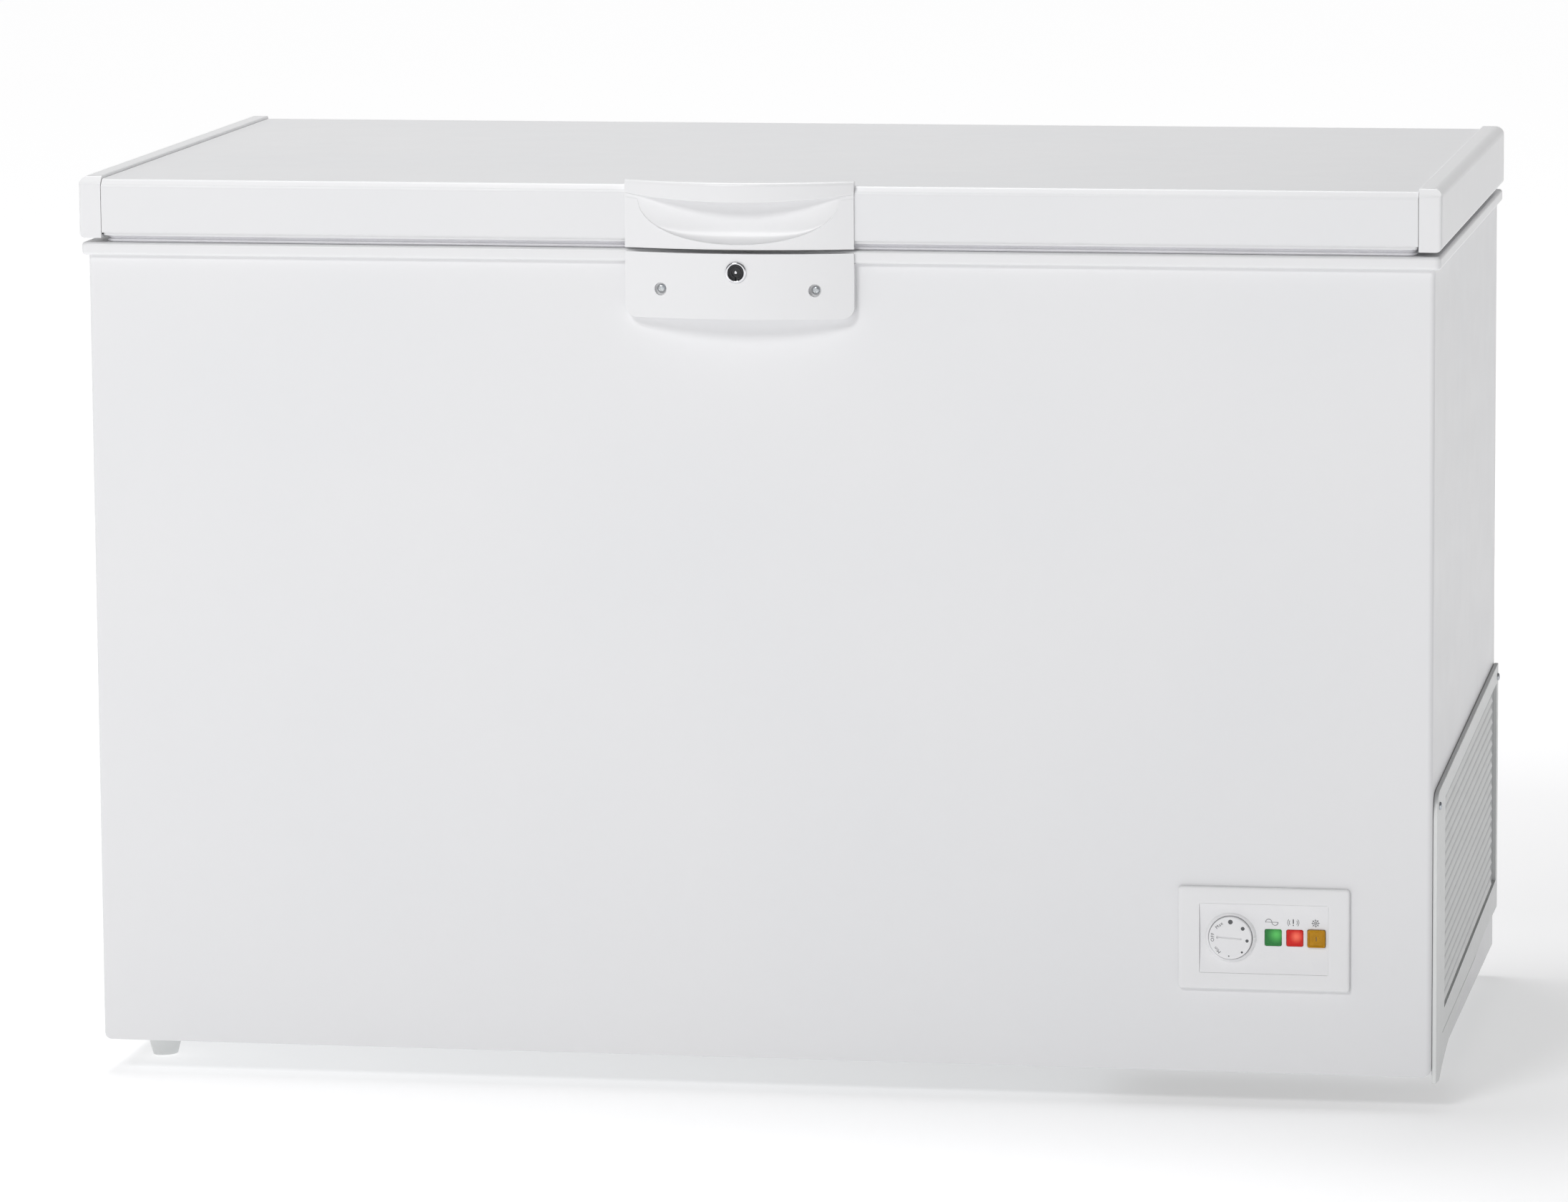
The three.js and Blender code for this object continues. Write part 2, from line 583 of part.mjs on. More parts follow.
function controlPanel(parent) {
  const panel = assembly(parent, PANEL_X, BODY_FRONT, PANEL_Z);
  const lampX = [0, 1, 2].map((i) => FIRST_LAMP_X + i * LAMP_PITCH);
  const bevel = 1.6;
  const [bezelHalf, bezelUp] = [PANEL_WIDTH / 2 - bevel, PANEL_HEIGHT / 2 - bevel];
  const bezelShape = rounded(-bezelHalf, bezelHalf, -bezelUp, bezelUp, 2);
  const bezelBlank = solid(new THREE.ExtrudeGeometry(bezelShape, {
    depth: 5, bevelSize: bevel, bevelThickness: bevel, bevelSegments: 2, curveSegments: 2,
  }).rotateX(Math.PI / 2).translate(0, 1.6, 0));
  const frontHalf = box(-100, 100, -20, -GAP, -60, 60);
  const window = prismY(
    rounded(-FASCIA_WIDTH / 2, FASCIA_WIDTH / 2, -FASCIA_HEIGHT / 2, FASCIA_HEIGHT / 2, 2), -9, 9);
  piece(panel, "control_bezel", bezelBlank.intersect(frontHalf).subtract(window), WHITE_PLASTIC);

  const [faceHalf, faceUp] = [FASCIA_WIDTH / 2 - GAP, FASCIA_HEIGHT / 2 - GAP];
  const face = prismY(rounded(-faceHalf, faceHalf, -faceUp, faceUp, 1.8), -2.3, -GAP);
  const collar = turned([
    [KNOB_RADIUS + 0.6, -1], [KNOB_RADIUS + 3.8, -1], [KNOB_RADIUS + 3.4, -3.4],
    [KNOB_RADIUS + 1.4, -5.4], [KNOB_RADIUS + 0.6, -5.4], [KNOB_RADIUS + 0.6, -1]], "y", 26);
  const pointer = box(KNOB_RADIUS + 0.8, KNOB_RADIUS + 3.6, -5.7, -4.4, -0.5, 0.5);
  const dialRing = collar.add(pointer).translate(KNOB_X, 0, KNOB_Z);
  const shaftHole = rod(4, -9, 9, "y", 16).translate(KNOB_X, 0, KNOB_Z);
  const lampHoles = lampX.map((x, i) => {
    const half = (i === 2 ? BUTTON_SIZE : LAMP_SIZE) / 2 + 0.35;
    return prismY(rounded(x - half, x + half, LAMP_Z - half, LAMP_Z + half, 1.6), -9, 9, 2);
  });
  const fascia = cut(face.add(dialRing), [shaftHole, ...lampHoles]);
  piece(panel, "control_fascia", fascia, WHITE_PLASTIC);

  const [boxHalf, boxUp] = [FASCIA_WIDTH / 2 - 1, FASCIA_HEIGHT / 2 - 1];
  const housing = box(-boxHalf, boxHalf, 0, 44, -boxUp, boxUp).subtract(
    box(-boxHalf + 2, boxHalf - 2, -1, 42, -boxUp + 2, boxUp - 2));
  piece(panel, "control_housing", housing, BLACK_PLASTIC);

  const thermostat = box(-20, 20, 4, 34, -14, 14).add(rod(3, -5.6, 6, "y", 12)).translate(KNOB_X, 0, KNOB_Z);
  piece(panel, "thermostat", thermostat, GALVANISED);
  const knobProfile = [
    [0, -8.6], [KNOB_RADIUS - 1, -8.6], [KNOB_RADIUS, -7.6], [KNOB_RADIUS, -2.7], [3.2, -2.7], [3.2, -6],
    [0, -6]];
  const groove = box(-12, 11, -10, -8, -0.7, 0.7);
  const knob = piece(panel, "thermostat_knob", turned(knobProfile, "y", 26).subtract(groove), WHITE_PLASTIC);
  knob.position.set(KNOB_X, 0, KNOB_Z);

  const lampHalf = LAMP_SIZE / 2;
  const lens = prismY(rounded(-lampHalf, lampHalf, -lampHalf, lampHalf, 1.4), -3.4, 12, 2);
  piece(panel, "power_lamp", lens, GREEN_LENS).position.set(lampX[0], 0, LAMP_Z);
  piece(panel, "alarm_lamp", lens, RED_LENS).position.set(lampX[1], 0, LAMP_Z);
  const half = BUTTON_SIZE / 2;
  const button = prismY(rounded(-half, half, -half, half, 1.6), -5.2, 4, 2).subtract(
    prismY(rounded(-half + 1.6, half - 1.6, -half + 1.6, half - 1.6, 1), -6, -4.4, 2));
  piece(panel, "fast_freeze_button", button, AMBER_PLASTIC).position.set(lampX[2], 0, LAMP_Z);
  const stem = box(-7, 7, 7, 26, -9, 9);
  piece(panel, "fast_freeze_switch", stem, BLACK_PLASTIC).position.set(lampX[2] - 1, 0, LAMP_Z);
}

// ---------------------------------------------------------------- handle and lock

// a section through the handle at x, in the plane of Y and Z, with y = 0 on the lid's front face
function handleSection(x) {
  const { lerp } = THREE.MathUtils;
  const bow = bowAt(x);
  const pocket = Math.sqrt(Math.max(0, 1 - (x / (HANDLE_HALF * 0.88)) ** 2));
  const lowFront = -END_PROUD - 16 * bow;
  const hoodFront = -END_PROUD - (HANDLE_REACH - END_PROUD) * bow;
  const hoodUnder = 849.5 - 6 * bow;
  const lip = lerp(hoodUnder - 4, 803.4, pocket);
  const pocketBack = lerp(lowFront + 0.4, -6, pocket);
  const section = [
    [-GAP, HANDLE_BOTTOM], [lowFront + 0.8, HANDLE_BOTTOM], [lowFront, HANDLE_BOTTOM + 1], [lowFront, lip]];
  const steps = 5;
  for (let i = 1; i <= steps; i += 1) {
    const turn = (i / steps) * (Math.PI / 2);
    section.push([
      lerp(lowFront, pocketBack, Math.sin(turn)), lerp(lip, hoodUnder - 0.4, 1 - Math.cos(turn))]);
  }
  const edge = Math.min(hoodFront + 0.7, pocketBack - 0.1);
  section.push([lerp(pocketBack, edge, 0.25), hoodUnder + 0.6 * pocket], [edge, hoodUnder]);
  section.push([hoodFront, hoodUnder + 1], [hoodFront + 0.3, 856], [hoodFront + 2, HANDLE_TOP - 2]);
  const crownFront = hoodFront + 5;
  const crownRear = 7 + 19 * Math.sqrt(Math.max(bow, 0));
  section.push(
    [crownFront, HANDLE_TOP - 0.6], [lerp(crownFront, crownRear, 0.35), HANDLE_TOP - 0.6 + 0.6 * bow]);
  section.push([lerp(crownFront, crownRear, 0.8), HANDLE_TOP - 2 + bow], [crownRear, LID_TOP + GAP]);
  section.push([CHAMFER + 0.2, LID_TOP + GAP], [-GAP, LID_SHOULDER + 0.1]);
  return section.reverse().map(([y, z]) => at(x, y, z));
}

// room for the cam's swing from x0 to x1, two millimetres clear in front of it and behind it
const camRoom = (x0, x1, z0, z1) => box(x0, x1, CAM_REAR - CAM_THICKNESS - 2, CAM_REAR + 2, z0, z1);

function handle(parent) {
  const place = assembly(parent, HANDLE_X, LID_FRONT, 0);
  const rings = [];
  const stations = 20;
  for (let i = 0; i <= stations; i += 1) rings.push(handleSection(HANDLE_HALF * ((2 * i) / stations - 1)));
  const slot = camRoom(-HOOK_REACH - 2, 21.5, HANDLE_BOTTOM - 1, LOCK_Z + CAM_REACH + 2.5);
  piece(place, "lid_handle", loft(rings).subtract(slot), WHITE_PLASTIC);
  const [keeperFront, keeperRear] = [CAM_REAR - CAM_THICKNESS - 2 + GAP, CAM_REAR + 2 - GAP];
  const keeper = box(
    -HOOK_REACH - 2 + GAP, -CAM_HALF - 2, keeperFront, keeperRear, HANDLE_BOTTOM, HANDLE_BOTTOM + KEEPER);
  piece(place, "lock_keeper", keeper, ZINC);
}

// the bowed outline in plan, moved inwards by "inset", reaching back to y1
function bowedOutline(inset, y1) {
  const half = HANDLE_HALF - inset;
  const points = [[half, y1], [-half, y1]];
  const steps = 14;
  for (let i = 0; i <= steps; i += 1) {
    const x = half * ((2 * i) / steps - 1);
    points.push([x, -END_PROUD - BOW * bowAt(x) + inset]);
  }
  return polygon(points);
}

function lock(parent) {
  const place = assembly(parent, HANDLE_X, LID_FRONT, 0);
  const toBody = BODY_FRONT - LID_FRONT - GAP;
  const frontView = (inset) => prismY(rounded(
    -HANDLE_HALF + inset, HANDLE_HALF - inset, COVER_BOTTOM + inset, COVER_TOP - inset,
    [11 - inset, 11 - inset, 1, 1].map((r) => Math.max(r, 0.5))), -60, 60);
  const outer = prismZ(bowedOutline(0, toBody), COVER_BOTTOM, COVER_TOP).intersect(frontView(0));
  const inner = prismZ(bowedOutline(PLASTIC, 20), COVER_BOTTOM, COVER_TOP).intersect(frontView(PLASTIC));
  const screwX = [-COVER_SCREW_REACH, COVER_SCREW_REACH];
  const recessFloor = -6;
  const bosses = screwX.map((x) => rod(8, -13, toBody, "y", 14).translate(x, 0, COVER_SCREW_Z));
  const recesses = screwX.map((x) => rod(6, -40, recessFloor, "y", 16).translate(x, 0, COVER_SCREW_Z));
  const shankHoles = screwX.map((x) => rod(2.4, -20, 20, "y", 8).translate(x, 0, COVER_SCREW_Z));
  const lockHole = rod(8.8, -40, 0, "y", 18).translate(0, 0, LOCK_Z);
  const camSlot = camRoom(-CAM_HALF - 2, 26.5, COVER_TOP - 5, COVER_TOP + 5);
  const rimRoom = box(-200, 200, 1 - GAP, 30, RIM_BOTTOM - GAP, RIM_TOP + 5);
  const bowed = prismZ(bowedOutline(0, toBody), COVER_BOTTOM, COVER_TOP);
  const shell = cut(outer, [inner]).add(join(bosses).intersect(bowed));
  const cover = cut(shell, [...recesses, ...shankHoles, lockHole, camSlot, rimRoom]);
  piece(place, "lock_cover", cover, WHITE_PLASTIC);
  screwX.forEach((x, i) => {
    const screw = piece(place, `lock_cover_screw_${i + 1}`, panScrew(4, 2.2, 2, 22), ZINC);
    screw.position.set(x, recessFloor - GAP, COVER_SCREW_Z);
  });

  const face = -END_PROUD - BOW - GAP;
  const barrel = turned([
    [7.4, -9.6], [8.5, -9.6], [8.5, face], [10, face], [10, face - 0.8], [9, face - 1.4], [7.4, face - 1.4],
    [7.4, -9.6]], "y", 20);
  piece(place, "lock_barrel", barrel, CHROME).position.set(0, 0, LOCK_Z);
  const plugProfile = [
    [0, face - 0.6], [1.4, face - 0.6], [1.4, face + 0.8], [5, face + 0.8], [5, face - 0.8],
    [7.1, face - 0.8], [7.1, -9.8], [3, -9.8], [3, -5.2], [0, -5.2]];
  const keyway = box(-1, 1, face - 3, face + 4, -4.6, -1.8);
  const plug = turned(plugProfile, "y", 18).subtract(keyway);
  piece(place, "lock_cylinder", plug, BLACK_PLASTIC).position.set(0, 0, LOCK_Z);
  const camOutline = polygon([
    [-7, -CAM_HALF], [CAM_REACH, -CAM_HALF], [CAM_REACH, HOOK_REACH - 2], [CAM_REACH - 1.5, HOOK_REACH],
    [HOOK_INSIDE, HOOK_REACH], [HOOK_INSIDE, CAM_HALF], [-7, CAM_HALF]]);
  const cam = prismY(camOutline, CAM_REAR - CAM_THICKNESS, CAM_REAR).subtract(rod(3.3, -20, 0, "y", 16));
  piece(place, "lock_cam", cam, ZINC).position.set(0, 0, LOCK_Z);
}

// ---------------------------------------------------------------- lid

// the lid's section in Y and Z, moved inwards by "inset", from the level "bottom" upwards
function lidSection(inset, bottom, shoulder, top) {
  const [front, rear] = [LID_FRONT + inset, LID_REAR - inset];
  const slope = top - shoulder;
  return polygon([
    [front, bottom], [rear, bottom], [rear, shoulder], [rear - slope, top], [front + slope, top],
    [front, shoulder]]);
}

function lid(parent) {
  const outside = prismX(lidSection(0, SKIN_BOTTOM, LID_SHOULDER, LID_TOP), -SKIN_HALF, SKIN_HALF);
  const inside = prismX(
    lidSection(SHEET, SKIN_BOTTOM - 9, LID_SHOULDER - 0.4, LID_TOP - SHEET), -SKIN_HALF - 1, SKIN_HALF + 1);
  piece(parent, "lid_skin", outside.subtract(inside), WHITE_PAINT);

  const capBottom = LID_BOTTOM - 2;
  for (const [name, side] of [["lid_end_cap_left", -1], ["lid_end_cap_right", 1]]) {
    const [inner, outer] = [WIDTH / 2 - CAP_WIDTH, WIDTH / 2];
    const across = polygon([
      [inner, capBottom], [outer - 3, capBottom], [outer - 0.9, capBottom + 0.9], [outer, capBottom + 3],
      [outer, 853], [outer - 1, 855.4], [outer - 5, 859.2], [outer - 7, CAP_TOP], [inner, CAP_TOP]]);
    const along = prismX(lidSection(0, capBottom, 853, CAP_TOP), inner - 1, outer + 1);
    const plan = prismZ(rounded(inner - 40, outer, LID_FRONT, LID_REAR, [0, 8, 8, 0]), 700, 900, 5);
    const hollow = box(inner - 1, outer - 4, LID_FRONT + 4, LID_REAR - 4, capBottom + 3, LID_SHOULDER);
    const cap = prismY(across, LID_FRONT, LID_REAR).intersect(along).intersect(plan).subtract(hollow);
    piece(parent, name, side > 0 ? cap : cap.mirror([1, 0, 0]), WHITE_PLASTIC);
  }

  const inner = SHEET + GAP;
  const plug = (inset, bottom, top) => prismZ(rounded(
    -FOOD_HALF + 22 + inset, FOOD_HALF - 22 - inset, FOOD_FRONT + 10 + inset, FOOD_REAR - 10 - inset,
    24 - inset),
  bottom, top);
  const foamBlock = prismX(
    lidSection(inner, SKIN_BOTTOM + GAP, LID_SHOULDER - 0.7, LID_TOP - inner), -SKIN_HALF + 1, SKIN_HALF - 1);
  piece(parent, "lid_foam", foamBlock.add(plug(1.8 + GAP, 788.8 + GAP, 820)), FOAM);

  const flange = box(
    -SKIN_HALF + 1, SKIN_HALF - 1, LID_FRONT + 2.4, LID_REAR - 2.4, LID_BOTTOM + 0.4, SKIN_BOTTOM);
  const liner = flange.add(plug(0, 787, SKIN_BOTTOM)).subtract(plug(1.8, 788.8, 900));
  piece(parent, "lid_liner", liner, WHITE_PLASTIC);

  const seal = (inset) => rounded(
    -WIDTH / 2 + inset, WIDTH / 2 - inset, LID_FRONT + inset - 16, LID_REAR - inset + 16, 8);
  const [sealUnder, sealOver] = [RIM_TOP + GAP, LID_BOTTOM + 0.1];
  const gasket = prismZ(seal(24), sealUnder, sealOver).subtract(
    prismZ(seal(44), sealUnder - 1, sealOver + 1));
  piece(parent, "lid_gasket", gasket, SOFT_GREY);
}

// ---------------------------------------------------------------- hinges

// Each hinge group has its origin on the hinge axis. Lugs on the lid carry a crank pin in the slot of a
// pull rod, and an extension spring holds the rod down, so that the spring takes the lid's weight.
function hinge(parent, side, x) {
  const group = assembly(parent, x, AXIS_Y, AXIS_Z);
  const name = (stem) => `${stem}_${side}`;
  const [flangeIn, flangeOut] = [20, 22];
  const [lugIn, lugOut] = [15, 17];
  const back = DEPTH / 2 - AXIS_Y;
  const rodY = 12.6;
  const [crankY, crankZ] = [CRANK_RADIUS * Math.cos(CRANK_ANGLE), CRANK_RADIUS * Math.sin(CRANK_ANGLE)];

  const flange = polygon([
    [-8, -160], [back, -150], [back, -30], [6.2, -3], [6.2, 2], [4, 5.2], [0, 6.4], [-4, 5.2], [-6.4, 2],
    [-8, -8]]);
  const plates = [[-flangeOut, -flangeIn], [flangeIn, flangeOut]].map(([x0, x1]) => prismX(flange, x0, x1));
  const base = box(-34, 34, -9.2, -7.2, -160, -18);
  const guide = box(-flangeIn - 1, flangeIn + 1, -8, back, -26, -24).subtract(
    rod(3.6, -40, 0, "z", 16).translate(0, rodY, 0));
  const anchor = box(-flangeIn - 1, flangeIn + 1, rodY - 2, rodY + 2, -150, -147);
  const boltHoles = [-140, -40].flatMap((z) => [-28, 28].map((bx) =>
    rod(2.6, -12, 0, "y", 6).translate(bx, 0, z)));
  const pinHole = rod(3.3, -40, 40, "x", 12);
  const bracket = cut(join([...plates, base, guide, anchor]), [pinHole, ...boltHoles]);
  piece(group, name("hinge_bracket"), bracket, ZINC);

  const head = 24.3;
  const pin = turned([
    [0, -head], [4.6, -head], [4.6, -flangeOut - GAP], [3, -flangeOut - GAP], [3, flangeOut + GAP],
    [4.6, flangeOut + GAP], [4.6, head], [0, head]], "x", 12);
  piece(group, name("hinge_pin"), pin, ZINC);

  const lug = polygon([
    [-7.2, 46], [0, 46], [16.4, 12], [16.4, 6], [5, -4.6], [-2, -6], [-6, -2.4], [-6.4, 6], [-7.2, 8]]);
  const lugs = [[-lugOut, -lugIn], [lugIn, lugOut]].map(([x0, x1]) => prismX(lug, x0, x1));
  const lidPlate = box(-34, 34, -7.2, -5.7, 8, 50);
  const crankPin = rod(2.5, -lugOut, lugOut, "x", 10).translate(0, crankY, crankZ);
  const plateHoles = [-27, 27].flatMap((bx) => [16, 42].map((z) =>
    rod(2.6, -12, 0, "y", 6).translate(bx, 0, z)));
  const leaf = cut(join([...lugs, lidPlate]), [pinHole, ...plateHoles]).add(crankPin);
  piece(group, name("hinge_leaf"), leaf, ZINC);

  const slotReach = CRANK_RADIUS + 2.9;
  const rodHead = box(-5, 5, 6.2, back - 0.6, crankZ - 7, crankZ + 7).subtract(
    box(-6, 6, crankY - 2.9, slotReach, crankZ - 2.9, crankZ + 2.9));
  const stem = rod(3, -58, crankZ - 6, "z", 12).translate(0, rodY, 0);
  const foot = rod(5.5, -58, -54, "z", 12).translate(0, rodY, 0);
  piece(group, name("pull_rod"), join([rodHead, stem, foot]), ZINC);

  const spring = turned([[4, -146.6], [6.5, -146.6], [6.5, -58.4], [4, -58.4], [4, -146.6]], "z", 14);
  piece(group, name("hinge_spring"), spring.translate(0, rodY, 0), ZINC);
}

// ---------------------------------------------------------------- feet, gland and basket

function feet(parent) {
  const places = [
    ["foot_front_left", -598, -240, 38], ["foot_front_right", 585, -150, -38],
    ["foot_rear_left", -598, 270, -38], ["foot_rear_right", 585, 270, 38]];
  const top = BODY_BOTTOM;
  for (const [name, x, y, angle] of places) {
    const stem = new THREE.CylinderGeometry(20, 12.5, top, 8, 1);
    stem.rotateX(Math.PI / 2).rotateZ(Math.PI / 8).scale(1, 0.72, 1).translate(0, 0, top / 2);
    const flange = prismZ(rounded(-27, 27, -20, 20, 6), top - 3, top, 2);
    const foot = piece(parent, name, solid(stem).add(flange), GREY_PLASTIC);
    foot.position.set(x, y, 0);
    foot.rotation.z = THREE.MathUtils.degToRad(angle);
  }
}

function gland(parent) {
  const bush = turned([[4, -4], [7, -4], [7, 0.3], [10, 0.3], [10, 2.5], [6.5, 7], [4, 7], [4, -4]], "y", 18);
  piece(parent, "mains_gland", bush, RUBBER).position.set(GLAND_X, BODY_REAR, GLAND_Z);
}

// the basket hangs by its two rails on the ledges at the front and back of the food space
function basket(parent) {
  const [length, wall] = [300, 3];
  const middle = (FOOD_FRONT + FOOD_REAR) / 2;
  const place = assembly(parent, FOOD_HALF - 10 - length / 2, middle, LEDGE_TOP);
  const half = (FOOD_REAR - FOOD_FRONT) / 2 - 4;
  const [bottom, top] = [-150, 6];
  const outline = (inset) => rounded(
    -length / 2 + inset, length / 2 - inset, -half + inset, half - inset, 12 - inset);
  const shell = prismZ(outline(0), bottom, top).subtract(prismZ(outline(wall), bottom + wall, top + 1));
  const rails = [-1, 1].map((side) => {
    const [y0, y1] = [side * (half - wall / 2), side * (half + 4 + LEDGE - 2)].sort((a, b) => a - b);
    return box(-length / 2 + 24, length / 2 - 24, y0, y1, GAP, top);
  });
  piece(place, "wire_basket", join([shell, ...rails]), WHITE_PAINT);
}

// ---------------------------------------------------------------- the whole freezer

const freezer = new THREE.Group();
cabinetShell(freezer);
coils(freezer);
compressorBay(freezer);
sideGrille(freezer);
controlPanel(freezer);
lock(freezer);
feet(freezer);
gland(freezer);
basket(freezer);
lid(freezer);
handle(freezer);
hinge(freezer, "left", -HINGE_X);
hinge(freezer, "right", HINGE_X);

export default freezer;
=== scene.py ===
"""The looks of the chest freezer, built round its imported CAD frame, in Blender 4.5.

Helpers take millimetres in the row's own frame (+X right, +Y back, +Z up, floor at Z = 0), and
new_piece() turns them into metres. Places come from the CAD nodes' boxes.
"""
import json
from math import atan2, cos, pi, radians, sin, sqrt, tan

import bmesh
import bpy
from mathutils import Euler, Matrix, Vector


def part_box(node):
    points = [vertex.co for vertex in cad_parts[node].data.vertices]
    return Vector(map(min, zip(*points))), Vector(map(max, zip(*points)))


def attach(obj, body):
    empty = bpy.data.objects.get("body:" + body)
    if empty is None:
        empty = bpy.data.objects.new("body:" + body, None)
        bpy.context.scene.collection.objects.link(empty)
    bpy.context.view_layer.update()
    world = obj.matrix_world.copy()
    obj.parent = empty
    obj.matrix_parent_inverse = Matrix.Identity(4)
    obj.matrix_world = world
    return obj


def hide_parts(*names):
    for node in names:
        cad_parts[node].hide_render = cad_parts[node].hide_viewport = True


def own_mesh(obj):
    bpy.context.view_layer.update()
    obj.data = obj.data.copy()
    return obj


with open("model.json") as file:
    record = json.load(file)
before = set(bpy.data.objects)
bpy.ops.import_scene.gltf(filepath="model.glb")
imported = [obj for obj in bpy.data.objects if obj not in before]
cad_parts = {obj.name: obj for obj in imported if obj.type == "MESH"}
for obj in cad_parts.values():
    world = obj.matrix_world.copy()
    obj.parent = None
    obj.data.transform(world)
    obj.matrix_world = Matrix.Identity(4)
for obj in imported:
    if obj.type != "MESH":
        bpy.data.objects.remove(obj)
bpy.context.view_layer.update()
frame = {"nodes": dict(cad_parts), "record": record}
nodes = frame["nodes"]
MM = 0.001


def box(node):
    """A CAD node's lowest and highest corners in millimetres."""
    low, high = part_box(node)
    return low / MM, high / MM


def middle(node):
    low, high = box(node)
    return (low + high) / 2


def lerp(a, b, t):
    return a + (b - a) * t


# ---------------------------------------------------------------- materials

class Surface:
    """A Principled material whose colour, roughness and bump get procedural detail."""

    def __init__(self, name, color, roughness, metallic=0.0, coat=0.0, coat_roughness=0.1):
        self.material = bpy.data.materials.new(name)
        self.material.use_nodes = True
        self.tree = self.material.node_tree
        self.shader = self.tree.nodes["Principled BSDF"]
        self.color = color
        self.roughness = roughness
        self.set("Base Color", (*color, 1))
        self.set("Roughness", roughness)
        self.set("Metallic", metallic)
        self.set("Coat Weight", coat)
        self.set("Coat Roughness", coat_roughness)
        self.place = self.node("ShaderNodeTexCoord").outputs["Object"]
        self.normal = None

    def set(self, socket, value):
        self.shader.inputs[socket].default_value = value

    def node(self, kind, **inputs):
        made = self.tree.nodes.new(kind)
        for key, value in inputs.items():
            self.feed(made.inputs[key.replace("_", " ")], value)
        return made

    def feed(self, socket, value):
        if isinstance(value, bpy.types.NodeSocket):
            self.tree.links.new(value, socket)
        else:
            socket.default_value = value

    def stretched(self, scale):
        """Object coordinates, stretched by scale along each axis."""
        return self.node("ShaderNodeMapping", Vector=self.place, Scale=scale).outputs[0]

    def noise(self, size, detail=3, stretch=(1, 1, 1)):
        """Noise whose features are about size millimetres across."""
        made = self.node(
            "ShaderNodeTexNoise", Vector=self.stretched(stretch), Scale=1 / (size * MM), Detail=detail)
        return made.outputs["Fac"]

    def cells(self, size, feature="F1", stretch=(1, 1, 1)):
        made = self.node("ShaderNodeTexVoronoi", Vector=self.stretched(stretch), Scale=1 / (size * MM))
        made.feature = feature
        return made

    def ranged(self, value, low, high, start=0.3, end=0.7):
        made = self.node(
            "ShaderNodeMapRange", Value=value, From_Min=start, From_Max=end, To_Min=low, To_Max=high)
        return made.outputs["Result"]

    def tint(self, value, color, amount=1.0):
        """Moves the base colour towards color where value is high, by at most amount."""
        base = self.shader.inputs["Base Color"]
        start = base.links[0].from_socket if base.is_linked else (*self.color, 1)
        self.feed(base, self.blended(self.ranged(value, 0, amount), start, (*color, 1)))
        return self

    def blended(self, share, first, second):
        """The colour that goes from first to second as share goes from 0 to 1."""
        mix = self.tree.nodes.new("ShaderNodeMix")
        mix.data_type = "RGBA"
        factor, a, b = mix.inputs[0], mix.inputs[6], mix.inputs[7]
        for socket, value in ((factor, share), (a, first), (b, second)):
            self.feed(socket, value)
        return mix.outputs[2]

    def rough(self, value, spread):
        """Roughness that varies by spread either way."""
        self.feed(
            self.shader.inputs["Roughness"],
            self.ranged(value, self.roughness - spread, self.roughness + spread))
        return self

    def bump(self, height, depth, strength=1.0):
        """Raises the surface by depth millimetres where height is high."""
        made = self.node("ShaderNodeBump", Height=height, Distance=depth * MM, Strength=strength)
        if self.normal:
            self.feed(made.inputs["Normal"], self.normal)
        self.normal = made.outputs["Normal"]
        self.feed(self.shader.inputs["Normal"], self.normal)
        return self


def painted_steel():
    s = Surface("painted_steel", (0.80, 0.80, 0.81), 0.38, coat=0.12, coat_roughness=0.15)
    s.set("Specular IOR Level", 0.3)
    s.tint(s.noise(260), (0.76, 0.77, 0.79), 0.35).rough(s.noise(40), 0.04)
    return s.bump(s.noise(1.8, 2), 0.02, 0.35)


def moulded_white():
    s = Surface("moulded_white", (0.81, 0.81, 0.82), 0.34, coat=0.12, coat_roughness=0.12)
    s.shader.inputs["Specular IOR Level"].default_value = 0.35
    s.tint(s.noise(160), (0.80, 0.805, 0.815), 0.4).rough(s.noise(30), 0.02)
    return s.bump(s.noise(1.1, 2), 0.004, 0.2)


def dial_white():
    s = Surface("dial_white", (0.82, 0.82, 0.83), 0.42)
    s.tint(s.noise(12), (0.79, 0.79, 0.81), 0.4).rough(s.noise(3), 0.06)
    return s.bump(s.noise(0.35, 2), 0.01, 0.4)


def grille_plastic():
    s = Surface("grille_plastic", (0.78, 0.79, 0.785), 0.42)
    s.tint(s.noise(30), (0.73, 0.745, 0.74), 0.5).rough(s.noise(6), 0.08)
    return s.bump(s.noise(0.5, 2), 0.02, 0.5)


def louvre_plastic_painted_shade():
    """The grille's plastic, with painted shade that darkens it in the valleys between its louvres and on the recess
    floor behind them.
    """
    s = grille_plastic()
    inner, outer = (corner.x * MM for corner in box("side_grille"))
    across = s.node("ShaderNodeSeparateXYZ", Vector=s.place).outputs["X"]
    # Painted shade: the colour darkens from the blades' outer lips in towards the valleys.
    s.tint(s.ranged(across, 1, 0, inner + 1.2 * MM, outer - 0.2 * MM), (0.30, 0.31, 0.32), 0.85)
    s.material.name = "louvre_plastic_painted_shade"
    return s


def embossed_aluminium():
    s = Surface("embossed_aluminium", (0.72, 0.73, 0.74), 0.36, metallic=0.9)
    s.tint(s.noise(90), (0.60, 0.62, 0.64), 0.5).rough(s.noise(14), 0.08)
    ridges = s.cells(7, "SMOOTH_F1").outputs["Distance"]
    return s.bump(ridges, 0.5, 0.6).bump(s.noise(2.2), 0.05, 0.4)


def galvanised_steel():
    s = Surface("galvanised_steel", (0.55, 0.57, 0.58), 0.42, metallic=0.85)
    spangle = s.cells(14).outputs["Color"]
    s.tint(spangle, (0.38, 0.40, 0.42), 0.6).rough(spangle, 0.1)
    return s.bump(s.noise(3), 0.02, 0.3)


